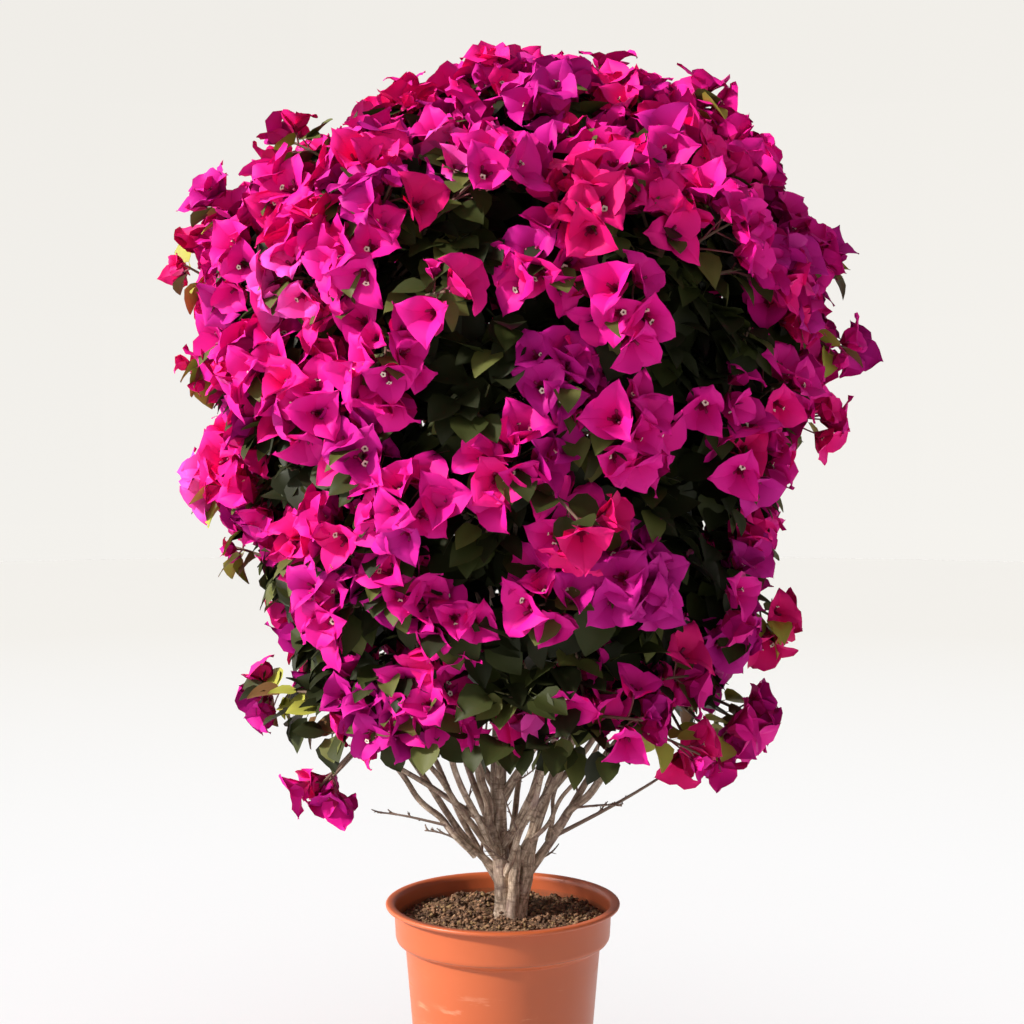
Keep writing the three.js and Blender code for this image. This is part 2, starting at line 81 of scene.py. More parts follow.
Tier = namedtuple(
    "Tier", "name count phase height reach rise leaving tilt pull base_radius tip_radius stout leaf_share"
)
TIERS = [
    Tier("skirt", 5, 4, 425, 0.74, 35, (207, 250), 42, 0.42, 4.4, 2.6, 1.5, 0.45),
    Tier("lower_flank", 6, 0, 545, 0.76, 48, (262, 228), 47, 0.5, 4.4, 2.6, 1, 0.2),
    Tier("upper_flank", 6, 32, 672, 0.76, 52, (300, 356), 36, 0.42, 4.4, 2.6, 1, 0.2),
    Tier("shoulder", 6, 2, 806, 0.74, 52, (400, 560), 34, 0.42, 4.6, 2.6, 1, 0),
    Tier("crest", 3, 90, 922, 0.56, 64, (640, 700), 32, 0.42, 4, 2.6, 1, 0),
    Tier("crest_top", 1, 0, 980, 0, 90, (0, 0), 0, 0, 3, 3, 1, 0),
]

STEM_LENGTH = 70
STEM_RADII = (2.6, 1.8)
TWIGS = 225
TWIG_INSET = (16, 44)
SEED = 44

# ---------------------------------------------------------------- sizes of what is added here

# Azimuth, distance from the pot's axis, and height of the shoots that stand out of the crown's outline. They
# are the source's, some of them shifted by up to 20 mm, and four more near the top.
SHOOTS = [
    (186, 280, 896), (178, 316, 836), (194, 208, 944), (188, 98, 986), (160, 70, 1000),
    (8, 108, 1010), (338, 122, 1000), (174, 304, 724), (184, 290, 623), (176, 266, 557),
    (188, 236, 418), (196, 186, 328), (354, 190, 988), (4, 324, 835), (352, 328, 750),
    (8, 322, 687), (356, 270, 487), (350, 238, 390), (82, 320, 800), (104, 302, 610),
    (62, 272, 450), (262, 318, 780), (284, 290, 590), (118, 246, 930),
]
# Sprays that hang under the crown's edge, given as the shoots are.
HANGING_SPRAYS = [
    (336, 228, 378), (322, 226, 380), (346, 214, 368), (349, 242, 398), (330, 204, 372),
    (236, 196, 398), (196, 176, 334), (60, 226, 396), (112, 220, 392),
]
# Leafy twigs that hang there without flowers.
LEAFY_SPRAYS = [
    (262, 168, 398), (274, 150, 400), (283, 172, 396), (292, 158, 390), (300, 186, 388),
    (250, 180, 402), (218, 196, 396), (206, 214, 412), (192, 232, 424), (90, 180, 396),
    (30, 206, 400),
]

# Leafy hollows lie between the flower clusters all round the crown. Twigs that end in one bear leaves only
# and stop deeper in the crown. Over the heights of HOLLOWS_CLOSING they shrink, because the crown is thickest
# at the top.
HOLLOWS = 80
HOLLOW_RADII = (30, 57)
HOLLOW_SHIFTS = (0.06, 0.9)  # off the even spiral, as a share of the profile and in radians
HOLLOWS_CLOSING = (790, 960)
CLOSED_HOLLOW = 0.45  # what is left of a hollow's radius above that
HOLLOW_SEED = 11
HOLLOW_DEPTH = 34  # how much deeper its twigs end
HOLLOW_LEAVES = 20  # least depth of the leaves in a hollow

# The rings that the flowers and leaves keep within, given as CROWN_PROFILE is but with a higher underside, a
# slimmer shoulder and a top that leans further to the right.
FLOWER_PROFILE = [
    (96, 402, 8), (180, 394, 10), (230, 408, 10), (246, 460, 6), (266, 540, 6),
    (290, 620, 0), (304, 700, 9), (308, 770, 13), (308, 835, 7), (288, 895, 1),
    (224, 948, 20), (168, 992, 34), (118, 1022, 42), (0, 1040, 66),
]
SHOULDER = (900, 960)  # between these heights the front and the back draw in
SHOULDER_DEPTH = 0.86  # to this share of the width

FLOWER_LENGTH = 40  # of one bract
FLOWER_WIDTH = 31
FLOWERS = (7, 10)  # at the end of a flowering twig
SHOOT_FLOWERS = (3, 5)
NO_FLOWERS = (0, 1)
LEAFY_FLOWERS = (3, 6)  # at the end of a twig that bears more leaves than flowers
CLUSTER_RADIUS = 30  # over which a twig's flowers stand
HEAD_ROUNDNESS = 0.42  # how far a head of flowers falls away at its rim, as a share of its radius
CLUSTER_DEPTH = (-11, 27)  # how deep under the crown's surface a twig's outermost flowers end
LEAF_LENGTH = (30, 43)
LEAF_GAP = 13  # along a twig
INNER_LEAVES = 150  # to a mass, in the shade round its stem
CRUMBS = 5200
TWIG_RADII = (2.0, 1.2)  # the tip is slimmer than the source's
BOUGH_SLIMNESS = 0.8  # against the source's radii


# ---------------------------------------------------------------- numbers and vectors


def between(low, high, share):
    return low + (high - low) * share


def unit(vectors):
    return vectors / np.linalg.norm(vectors, axis=-1, keepdims=True)


def aimed(azimuth, rise):
    """The direction at an azimuth and a rise above the horizontal, both in degrees."""
    a, r = np.radians(azimuth), np.radians(rise)
    return np.stack([np.cos(a) * np.cos(r), np.sin(a) * np.cos(r), np.sin(r) + 0 * a], axis=-1)


def turned(side, up, angle):
    """The direction at an angle from `side` towards `up`."""
    return side * math.cos(angle) + up * math.sin(angle)


def stream(seed):
    """A seeded stream of numbers from 0 to 1, the same as in the part's source."""
    modulus = 2147483647
    state = (seed * 48271 + 11) % modulus

    def draw():
        nonlocal state
        state = state * 16807 % modulus
        return state / modulus

    draw()
    draw()
    return draw


def bezier(pulls, shares):
    a, b, c, d = (np.asarray(pull, float) for pull in pulls)
    t = np.asarray(shares, float)[..., None]
    return (1 - t) ** 3 * a + 3 * (1 - t) ** 2 * t * b + 3 * (1 - t) * t**2 * c + t**3 * d


def square_to(direction):
    """Two unit vectors square to a direction and to each other."""
    reference = np.where(np.abs(direction[..., 2:]) > 0.9, [1.0, 0, 0], [0, 0, 1.0])
    side = unit(np.cross(direction, reference))
    return side, np.cross(side, direction)


# ---------------------------------------------------------------- meshes


def grid_faces(rows, columns, wrap=False):
    """The quads of a grid of places, row by row; with wrap, its last column joins its first."""
    row = np.arange(rows - 1)[:, None] * columns
    column = np.arange(columns if wrap else columns - 1)
    after = (column + 1) % columns
    quads = np.stack([row + column, row + after, row + columns + after, row + columns + column], axis=-1)
    return quads.reshape(-1, 4)


def triangles_of(faces):
    """How many triangles an array of quads has. A quad whose last number is -1 is one triangle."""
    return int(len(faces) + np.count_nonzero(faces[:, 3] >= 0))


def mesh_object(name, places, faces, materials, finishes=0, grain=None):
    """A smooth mesh that rides on the plant's body. `finishes` numbers each face's material."""
    mesh = bpy.data.meshes.new(name)
    real = faces >= 0
    counts = real.sum(axis=1)
    mesh.vertices.add(len(places))
    mesh.vertices.foreach_set("co", (places * MM).astype(np.float32).ravel())
    mesh.loops.add(int(counts.sum()))
    mesh.loops.foreach_set("vertex_index", faces[real].astype(np.int32))
    mesh.polygons.add(len(faces))
    mesh.polygons.foreach_set("loop_start", (np.cumsum(counts) - counts).astype(np.int32))
    mesh.polygons.foreach_set("material_index", np.broadcast_to(finishes, len(faces)).astype(np.int32))
    mesh.polygons.foreach_set("use_smooth", np.ones(len(faces), bool))
    for material in materials:
        mesh.materials.append(material)
    if grain is not None:
        mesh.attributes.new("grain", "FLOAT_VECTOR", "POINT").data.foreach_set(
            "vector", grain.astype(np.float32).ravel()
        )
    mesh.update(calc_edges=True)
    mesh.validate()
    piece = bpy.data.objects.new(name, mesh)
    bpy.context.scene.collection.objects.link(piece)
    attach(piece, "root")
    return piece


class Pile:
    """Things of one kind, gathered so that they can be joined into as few pieces as the limit allows."""

    def __init__(self, name, slot, materials):
        self.name, self.slot, self.materials = name, slot, materials
        self.items = []

    def add(self, places, faces, finish=0, grain=None):
        self.items.append((places, faces, np.broadcast_to(finish, len(faces)), grain))

    def pieces(self):
        weights = np.cumsum([triangles_of(faces) for _, faces, _, _ in self.items])
        shares = math.ceil(weights[-1] / MOST_TRIANGLES)
        batch = np.minimum((weights - 1) * shares // weights[-1], shares - 1)
        made = []
        for number in range(shares):
            items = [item for item, at in zip(self.items, batch) if at == number]
            name = self.name if shares == 1 else f"{self.name}_{number + 1}"
            made.append(self.joined(name, items))
        return made

    def joined(self, name, items):
        sizes = [len(places) for places, _, _, _ in items]
        starts = np.cumsum([0, *sizes[:-1]])
        faces = [np.where(f >= 0, f + start, -1) for (_, f, _, _), start in zip(items, starts)]
        grains = [grain for _, _, _, grain in items]
        return mesh_object(
            name,
            np.concatenate([places for places, _, _, _ in items]),
            np.concatenate(faces),
            self.materials,
            np.concatenate([finish for _, _, finish, _ in items]),
            None if grains[0] is None else np.concatenate(grains),
        )


TUBE_POINT = 0.6  # height of a tube's closing point, as a share of its radius


def tube(points, radii, sides):
    """A tube round a line of points, closed at its far end by a low point. `radii` holds one radius a point,
    or one a corner."""
    tangent = unit(np.gradient(points, axis=0))
    middle = unit(points[-1] - points[0])
    side = unit(np.cross(tangent, square_to(middle)[1]))
    up = np.cross(side, tangent)
    angle = 2 * np.pi * np.arange(sides) / sides
    radii = np.broadcast_to(np.asarray(radii, float).reshape(len(points), -1), (len(points), sides))
    spoke = np.cos(angle)[:, None] * side[:, None] + np.sin(angle)[:, None] * up[:, None]
    rings = points[:, None] + radii[..., None] * spoke
    tip = points[-1] + tangent[-1] * radii[-1].mean() * TUBE_POINT
    last = (len(points) - 1) * sides
    corner = np.arange(sides)
    after = (corner + 1) % sides
    cap = np.stack([last + corner, last + after, np.full(sides, last + sides), np.full(sides, -1)], axis=1)
    places = np.vstack([rings.reshape(-1, 3), tip])
    return places, np.vstack([grid_faces(len(points), sides, wrap=True), cap])


def lathe(outline, segments):
    """A surface of revolution about +Z from an outline of (radius, height)."""
    radius, height = np.array(outline, float).T
    angle = 2 * np.pi * np.arange(segments) / segments
    x, y = radius[:, None] * np.cos(angle), radius[:, None] * np.sin(angle)
    places = np.stack([x, y, np.broadcast_to(height[:, None], x.shape)], axis=-1)
    return places.reshape(-1, 3), grid_faces(len(outline), segments, wrap=True)


def rounded(corners, reach, steps=5):
    """An outline with each corner between its ends turned into an arc that starts `reach` from it."""
    corners = np.array(corners, float)
    out = [corners[0]]
    for before, corner, after in zip(corners, corners[1:], corners[2:]):
        cut = min(reach, np.linalg.norm(corner - before) / 2, np.linalg.norm(after - corner) / 2)
        a = corner + unit(before - corner) * cut
        b = corner + unit(after - corner) * cut
        for t in np.linspace(0, 1, steps):
            out.append((1 - t) ** 2 * a + 2 * t * (1 - t) * corner + t**2 * b)
    return [*out, corners[-1]]


# ---------------------------------------------------------------- materials


class Shader:
    """A Principled material and short calls for the nodes that feed it."""

    def __init__(self, name, roughness, **values):
        self.material = bpy.data.materials.new(name)
        self.material.use_nodes = True
        self.tree = self.material.node_tree
        self.surface = self.tree.nodes["Principled BSDF"]
        self.surface.inputs["Roughness"].default_value = roughness
        for socket, value in values.items():
            self.surface.inputs[socket.replace("_", " ")].default_value = value

    def node(self, kind, settings=None, **inputs):
        made = self.tree.nodes.new(kind)
        for name, value in (settings or {}).items():
            setattr(made, name, value)
        for name, value in inputs.items():
            self.feed(made.inputs[name.replace("_", " ")], value)
        return made

    def feed(self, socket, value):
        if isinstance(value, bpy.types.NodeSocket):
            self.tree.links.new(value, socket)
        else:
            socket.default_value = value

    def set(self, socket, value):
        self.feed(self.surface.inputs[socket], value)

    def place(self, stretch=(1, 1, 1)):
        """Object coordinates in millimetres, each axis multiplied by its stretch."""
        source = self.node("ShaderNodeTexCoord").outputs["Object"]
        return self.scaled(source, [s / MM for s in stretch])

    def scaled(self, vector, factors):
        return self.node("ShaderNodeMapping", Vector=vector, Scale=factors).outputs[0]

    def noise(self, vector, scale, detail=4.0, roughness=0.5):
        made = self.node("ShaderNodeTexNoise", Vector=vector, Scale=scale, Detail=detail, Roughness=roughness)
        return made.outputs["Fac"]

    def ramp(self, value, *stops):
        """A colour or grey ramp through (position, colour) stops."""
        made = self.node("ShaderNodeValToRGB", Fac=value)
        line = made.color_ramp
        while len(line.elements) < len(stops):
            line.elements.new(1.0)
        for element, (position, colour) in zip(line.elements, stops):
            element.position = position
            element.color = (*colour, 1) if isinstance(colour, tuple) else (colour, colour, colour, 1)
        return made.outputs["Color"]

    def mix(self, share, a, b):
        made = self.node("ShaderNodeMix", {"data_type": "RGBA"})
        for socket, value in zip((made.inputs[0], made.inputs[6], made.inputs[7]), (share, a, b)):
            self.feed(socket, (*value, 1) if isinstance(value, tuple) else value)
        return made.outputs[2]

    def maths(self, operation, a, b=0.0, clamp=False):
        made = self.node("ShaderNodeMath", {"operation": operation, "use_clamp": clamp})
        self.feed(made.inputs[0], a)
        self.feed(made.inputs[1], b)
        return made.outputs[0]

    def times(self, a, b, clamp=False):
        return self.maths("MULTIPLY", a, b, clamp)

    def bump(self, height, distance, strength=1.0):
        made = self.node("ShaderNodeBump", Height=height, Distance=distance * MM, Strength=strength)
        self.set("Normal", made.outputs[0])


def plain(name, colour, roughness, **values):
    """A material of one plain colour, for the small things that a spray deals out."""
    shader = Shader(name, roughness, **values)
    shader.set("Base Color", (*colour, 1))
    return shader.material


def pot_plastic():
    """Smooth terracotta-coloured plastic, with pale rubbed streaks low on the body and soil dust inside."""
    streaks_end, streaks_fade = 165.0, 60  # the height that the streaks reach, and that they fade over
    dust_rise, dust_fade = 5.0, 8  # over the soil's surface
    shader = Shader("pot_plastic", 0.4)
    place = shader.place()
    z = shader.node("ShaderNodeSeparateXYZ", Vector=place).outputs["Z"]
    cloud = shader.noise(place, 0.012, 2)
    colour = shader.mix(cloud, (0.49, 0.098, 0.029), (0.56, 0.124, 0.039))

    streak = shader.noise(shader.place((1, 1, 5)), 0.022, 6, 0.62)
    low = shader.times(shader.maths("SUBTRACT", streaks_end, z), 1 / streaks_fade, clamp=True)
    patchy = shader.times(shader.ramp(shader.noise(place, 0.016, 1), (0.42, 0.0), (0.54, 1.0)), low)
    rub = shader.times(shader.ramp(streak, (0.60, 0.0), (0.66, 1.0)), patchy)
    colour = shader.mix(shader.times(rub, 0.36), colour, (0.88, 0.55, 0.38))

    radius = shader.node("ShaderNodeVectorMath", {"operation": "LENGTH"})
    shader.feed(radius.inputs[0], shader.scaled(place, (1, 1, 0)))
    inside = shader.maths("LESS_THAN", radius.outputs["Value"], POT_RIM_RADIUS - 0.6)
    in_collar = shader.times(inside, shader.maths("GREATER_THAN", z, POT_COLLAR_HEIGHT))
    dusty = shader.times(shader.maths("SUBTRACT", SOIL_SURFACE + dust_rise, z), 1 / dust_fade, clamp=True)
    dust = shader.times(shader.times(in_collar, dusty), shader.noise(place, 0.3, 5))
    shader.set("Base Color", shader.mix(dust, colour, (0.16, 0.075, 0.04)))
    shader.set("Roughness", shader.maths("ADD", shader.times(cloud, 0.2), shader.maths("ADD", 0.3, rub)))
    shader.bump(shader.times(shader.noise(place, 0.25, 2), 0.3), 0.2, 0.4)
    return shader.material


def soil_earth():
    shader = Shader("soil_earth", 0.95)
    grain = shader.noise(shader.place(), 0.16, 8, 0.7)
    browns = [(0.32, (0.045, 0.022, 0.012)), (0.50, (0.16, 0.085, 0.044)), (0.66, (0.28, 0.17, 0.085))]
    shader.set("Base Color", shader.ramp(grain, *browns))
    shader.bump(grain, 2.5)
    return shader.material


def bark():
    """Grey-brown bark in long narrow plates with dark cracks between them, browner and darker higher up as
    painted shade under the crown.
    """
    painted_shade_from, painted_shade_over = 232.0, 150  # the height that the painted shade under the crown starts at, and that it deepens over
    shader = Shader("bark", 0.85)
    grain = shader.node("ShaderNodeAttribute", {"attribute_name": "grain"}).outputs["Vector"]
    plates = shader.noise(shader.scaled(grain, (1, 1, 0.22)), 0.34, 6, 0.62)
    bands = shader.noise(shader.scaled(grain, (0.25, 0.25, 1)), 0.3, 4, 0.6)
    cracks = [(0.30, (0.10, 0.062, 0.042)), (0.43, (0.34, 0.245, 0.175))]
    backs = [(0.55, (0.62, 0.475, 0.35)), (0.68, (0.92, 0.78, 0.63))]
    tone = shader.ramp(plates, *cracks, *backs)
    tone = shader.mix(shader.ramp(bands, (0.50, 0.0), (0.66, 0.75)), tone, (0.13, 0.08, 0.055))
    z = shader.node("ShaderNodeSeparateXYZ", Vector=shader.place()).outputs["Z"]
    # Painted shade: from here upwards the bark is darkened and browned where the crown shades the stems.
    young = shader.times(shader.maths("SUBTRACT", z, painted_shade_from), 1 / painted_shade_over, clamp=True)
    tone = shader.mix(shader.times(young, 0.6), tone, (0.17, 0.112, 0.078))
    blush = shader.noise(shader.scaled(grain, (0.5, 0.5, 0.5)), 0.05, 2)
    tone = shader.mix(shader.ramp(blush, (0.52, 0.0), (0.70, 0.4)), tone, (0.30, 0.19, 0.20))
    shader.set("Base Color", tone)
    shader.bump(shader.maths("ADD", shader.times(plates, 0.7), shader.times(bands, 0.5)), 0.8)
    return shader.material


def plain_tints(colours, roughness, **values):
    """One plain material for each named colour."""
    return [plain(name, colour, roughness, **values) for name, colour in colours.items()]


HOT_PINK, MAGENTA, PURPLE, DEEP, PALE_PAINTED_HIGHLIGHT, THROAT_PAINTED_SHADE = range(6)
BRACT_TINTS = plain_tints(
    {
        "bract_hot_pink": (0.88, 0.010, 0.25),
        "bract_magenta": (0.76, 0.009, 0.285),
        "bract_purple": (0.55, 0.009, 0.26),
        "bract_deep": (0.74, 0.006, 0.165),
        # painted highlight: a washed-out pale pink, dealt more often on the sunny side
        "bract_pale_painted_highlight": (0.93, 0.07, 0.47),
        # painted shade in the deep throat of the cup and along the midrib's crease
        "bract_throat_painted_shade": (0.36, 0.003, 0.08),
    },
    0.6,
    Specular_IOR_Level=0.14,
)
LEAF_DARK, LEAF_GREEN, LEAF_LIGHT, LEAF_YOUNG, LEAF_BRONZE = range(5)
LEAF_TINTS = plain_tints(
    {
        "leaf_dark": (0.017, 0.020, 0.006),
        "leaf_green": (0.036, 0.043, 0.010),
        "leaf_light": (0.105, 0.112, 0.028),
        "leaf_young": (0.38, 0.38, 0.06),
        "leaf_bronze": (0.17, 0.085, 0.03),
    },
    0.55,
    Specular_IOR_Level=0.2,
)
FLORET_TUBE, FLORET_LOBE, FLORET_EYE = range(3)
FLORET_TINTS = [
    plain("floret_tube", (0.30, 0.012, 0.10), 0.5),
    plain("floret_lobe", (0.90, 0.80, 0.66), 0.5),
    plain("floret_eye", (0.12, 0.02, 0.03), 0.6),
]
TWIG_BROWN, TWIG_GREEN, TWIG_RED, TWIG_BARK, CUT_WOOD = range(5)
TWIG_TINTS = [
    plain("twig_brown", (0.15, 0.09, 0.06), 0.8),
    plain("twig_green", (0.13, 0.13, 0.045), 0.7),
    plain("twig_red", (0.20, 0.045, 0.055), 0.7),
    plain("twig_bark", (0.24, 0.165, 0.125), 0.85),
    plain("cut_wood", (0.56, 0.46, 0.34), 0.8),
]
CRUMB_TINTS = plain_tints(
    {
        "crumb_dark": (0.10, 0.052, 0.029),
        "crumb_brown": (0.27, 0.145, 0.078),
        "crumb_moss": (0.25, 0.155, 0.068),
        "crumb_pale": (0.38, 0.235, 0.135),
    },
    0.95,
)

# Leaf tints that are drawn from, each as often as it is named. The darkest tint, dealt mostly inside the
# crown and in its hollows, is painted shade.
INNER_PAINTED_SHADE_TINTS = (LEAF_DARK, LEAF_DARK, LEAF_DARK, LEAF_GREEN)
SHADED_LEAF_TINTS = (LEAF_DARK, LEAF_DARK, LEAF_GREEN)
OPEN_LEAF_TINTS = (LEAF_DARK, LEAF_GREEN, LEAF_GREEN, LEAF_LIGHT)
SPRAY_LEAF_TINTS = (LEAF_GREEN, LEAF_LIGHT, LEAF_LIGHT)
SIDE_SHOOT_TINTS = (LEAF_LIGHT, LEAF_YOUNG, LEAF_YOUNG, LEAF_YOUNG, LEAF_YOUNG, LEAF_BRONZE)
OTHER_SHOOT_TINTS = (LEAF_GREEN, LEAF_LIGHT)


# ---------------------------------------------------------------- the crown's rule


def profile_at(shares, profile=CROWN_PROFILE):
    """Radius, shift and height of the crown's profile, a Catmull-Rom curve through its rings."""
    rings = np.array(profile, float)[:, [0, 2, 1]]
    padded = np.vstack([2 * rings[0] - rings[1], rings, 2 * rings[-1] - rings[-2]])
    place = np.clip(shares, 0, 1) * (len(rings) - 1)
    k = np.minimum(place.astype(int), len(rings) - 2)
    w = (place - k)[..., None]
    before, a, b, after = (padded[k + i] for i in range(4))
    leaving, arriving = (b - before) / 2, (after - a) / 2
    bend = 3 * (b - a) - 2 * leaving - arriving
    return a + leaving * w + bend * w**2 + (2 * (a - b) + leaving + arriving) * w**3


SHARES = np.arange(301) / 300
UNDERSIDE = 0.1  # shares of the profile below this are its hollow underside
SHARE_HEIGHTS = np.where(SHARES > UNDERSIDE, profile_at(SHARES)[:, 2], -np.inf)


def share_at_height(heights):
    """The share of the profile at which it first passes each height, above the hollow underside."""
    passed = SHARE_HEIGHTS >= np.asarray(heights, float)[..., None]
    return np.where(passed.any(axis=-1), SHARES[passed.argmax(axis=-1)], 1.0)


def on_crown(share, azimuth):
    """The crown's surface point and outward normal at a share of the profile and an azimuth in radians."""
    step = 0.0001
    radius, shift, height = profile_at(np.array(share))
    slope = unit(profile_at(np.array(min(share + step, 1))) - profile_at(np.array(max(share - step, 0))))
    across = np.array([math.cos(azimuth), math.sin(azimuth), 0])
    normal = across * slope[2]
    normal[2] = -slope[0]
    return across * radius + (shift, 0, height), unit(normal)


FLOWER_LINE = profile_at(np.arange(241) / 240, FLOWER_PROFILE)
LOWEST = int(FLOWER_LINE[: len(FLOWER_LINE) // 4, 2].argmin())


def depth_inside(point):
    """How deep a point lies under the surface that the flowers keep within, below zero outside it."""
    under, over = FLOWER_LINE[: LOWEST + 1], FLOWER_LINE[LOWEST:]
    widest, shift = (np.interp(point[2], over[:, 2], over[:, k]) for k in (0, 1))
    depth = between(1, SHOULDER_DEPTH, np.interp(point[2], SHOULDER, (0, 1)))
    radius = math.hypot(point[0] - shift, point[1] / depth)
    near = np.hypot(FLOWER_LINE[:, 0] - radius, FLOWER_LINE[:, 2] - point[2]).min()
    low = point[2] < over[0, 2] or point[2] < np.interp(radius, under[:, 0], under[:, 2])
    return -near if radius > widest or low or point[2] > over[-1, 2] else near


def even_shares(count, pieces=600):
    """Shares of the profile that cut the crown's surface into bands of equal area."""
    line = profile_at(np.arange(pieces + 1) / pieces)
    lengths = np.linalg.norm(np.diff(line, axis=0), axis=1)
    sums = np.concatenate([[0], np.cumsum(lengths * np.maximum(0, (line[1:, 0] + line[:-1, 0]) / 2))])
    return np.searchsorted(sums, (np.arange(count) + 0.5) / count * sums[-1]) / pieces


Mass = namedtuple("Mass", "name tier index azimuth centre direction stem_foot")
Limb = namedtuple("Limb", "name pulls radius_at")
End = namedtuple("End", "point normal seed is_shoot flowers")


def tapering(foot_radius, tip_radius, slimness=1):
    """The rule for the radius of a limb that thins evenly from its foot to its tip."""
    return lambda along: between(foot_radius, tip_radius, along) * slimness


def make_masses():
    """The masses of foliage that the tiers are made of, each with the foot and the direction of its stem."""
    masses = []
    for tier in TIERS:
        radius, shift, _ = profile_at(share_at_height(tier.height))
        for index in range(tier.count):
            azimuth = tier.phase + 360 / tier.count * index
            centre = aimed(azimuth, 0) * radius * tier.reach + (shift, 0, tier.height)
            direction = aimed(azimuth, tier.rise)
            name = f"{tier.name}_{index + 1}" if tier.count > 1 else tier.name
            stem_foot = centre - direction * STEM_LENGTH
            masses.append(Mass(name, tier, index, azimuth, centre, direction, stem_foot))
    return masses


def make_trunk(top):
    tip = top.stem_foot - top.direction * CLEARANCE
    foot = np.array(TRUNK_FOOT, float)
    upper_pull = between(tip, foot, TRUNK_UPPER_PULL)
    upper_pull[0] = tip[0]
    pulls = (foot, TRUNK_PULL, upper_pull, tip)

    def radius_at(along):
        above = np.maximum(0, bezier(pulls, along)[..., 2] - SOIL_SURFACE)
        return between(*TRUNK_RADII, along) + TRUNK_FLARE * np.exp(-above / TRUNK_FLARE_HEIGHT)

    return Limb("trunk", pulls, radius_at)


def make_bough(mass, trunk):
    tier = mass.tier
    line = bezier(trunk.pulls, np.arange(201) / 200)
    start = line[np.argmax(line[:, 2] >= between(*tier.leaving, mass.index * GOLDEN_SHARE % 1))]
    end = mass.stem_foot - mass.direction * CLEARANCE
    span = np.linalg.norm(end - start)
    leaving = aimed(mass.azimuth, 90 - tier.tilt)
    entry = end - mass.direction * span * BOUGH_ENTRY_PULL
    pulls = (start, start + leaving * span * tier.pull, entry, end)
    base_radius = tier.base_radius * (tier.stout if mass.index == 0 else 1)
    return Limb(f"bough_{mass.name}", pulls, tapering(base_radius, tier.tip_radius, BOUGH_SLIMNESS))


def make_ends():
    """The ends that the crown's twigs grow to: the even spiral, the shoots that stand out of the outline, and
    the sprays that hang under it."""
    ends = []
    for k, share in enumerate(even_shares(TWIGS)):
        point, normal = on_crown(share, k * GOLDEN_ANGLE)
        ends.append(End(point, normal, k, False, None))
    loose = [(place, SHOOT_FLOWERS) for place in SHOOTS + HANGING_SPRAYS]
    loose += [(place, NO_FLOWERS) for place in LEAFY_SPRAYS]
    for k, ((azimuth, radius, height), flowers) in enumerate(loose):
        point = aimed(azimuth, 0) * radius + (0, 0, height)
        _, normal = on_crown(float(share_at_height(height)), math.radians(azimuth))
        ends.append(End(point, normal, TWIGS + k, True, flowers))
    return ends


MASSES = make_masses()
TRUNK = make_trunk(MASSES[-1])
BOUGHS = [make_bough(mass, TRUNK) for mass in MASSES[:-1]]
FOLIAGE_NODES = [f"foliage_{mass.name}" for mass in MASSES]

# ---------------------------------------------------------------- the pot and its soil


POT_OUTSIDE = [(0, 0), (81.5, 0), (95.8, 168.5), (103.6, 173), (105.2, 176.5), (106.6, 204.6), (111, 205.6)]
POT_LIP_MIDDLE = (112.8, 207.9)
POT_LIP_RADII = (2.2, 2.1)
POT_LIP_ARC = (-1.35, 1.75)  # radians, from under the lip to its top
POT_FLOOR = 3
POT_SEGMENTS = 144


def build_pot():
    """The pot's shell, turned from its outside, its lip, and its inside a wall's thickness in."""
    wall = POT_WALL
    (middle, height), (reach, rise) = POT_LIP_MIDDLE, POT_LIP_RADII
    arc = np.linspace(*POT_LIP_ARC, 12)
    lip = [(middle + reach * math.cos(a), height + rise * math.sin(a)) for a in arc]
    inside = [(107, 209.6), (105, 206), (105.2 - wall, 177), (103.6 - wall, 174), (95.8 - wall, 170)]
    inside += [(80, POT_FLOOR), (0, POT_FLOOR)]
    outline = [*rounded(POT_OUTSIDE, reach=1.8), *lip, *rounded(inside, reach=3)]
    places, faces = lathe(outline, POT_SEGMENTS)
    piece = mesh_object("pot_shell", places, faces, [pot_plastic()])
    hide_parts("pot")


SOIL_LUMPS = [(2.2, 5, 34), (1.3, 9, 11)]  # height, seed and wavelength of the soil's uneven surface
SOIL_RINGS = 52
SOIL_SIDES = 160
SOIL_ROOM = 0.6  # kept to the pot's wall
SOIL_SKIRT = 178  # how far down the soil's edge goes, out of sight
CRUMB_SEED = 71
CRUMB_ROOM = 4  # kept to the pot's wall
CRUMB_SIZES = (0.7, 3.0)
CRUMB_CLUMPS = (21, 16)  # seed and wavelength of the places where crumbs are larger and lie higher
OCTAHEDRON = np.array([(1, 0, 0), (0, 1, 0), (-1, 0, 0), (0, -1, 0), (0, 0, 1), (0, 0, -1)], float)


def waves(x, y, seed, size, count=9):
    """A smooth uneven height over a plane, as a sum of sines with wavelengths near `size`."""
    draw = stream(seed)
    total = np.zeros_like(x, dtype=float)
    for _ in range(count):
        heading = draw() * 2 * math.pi
        pace = between(0.6, 2.2, draw()) * 2 * math.pi / size
        start = draw() * PHASES
        total += np.sin((x * math.cos(heading) + y * math.sin(heading)) * pace + start)
    return total / math.sqrt(count)


def soil_height(x, y):
    """The soil's surface: highest round the trunk, lumpy, and lower at the pot's wall."""
    share = np.clip(np.hypot(x, y) / (POT_RIM_RADIUS - POT_WALL), 0, 1)
    height = SOIL_SURFACE - SOIL_EDGE_DROP * share**2
    for reach, seed, size in SOIL_LUMPS:
        height = height + reach * waves(x, y, seed, size)
    return height


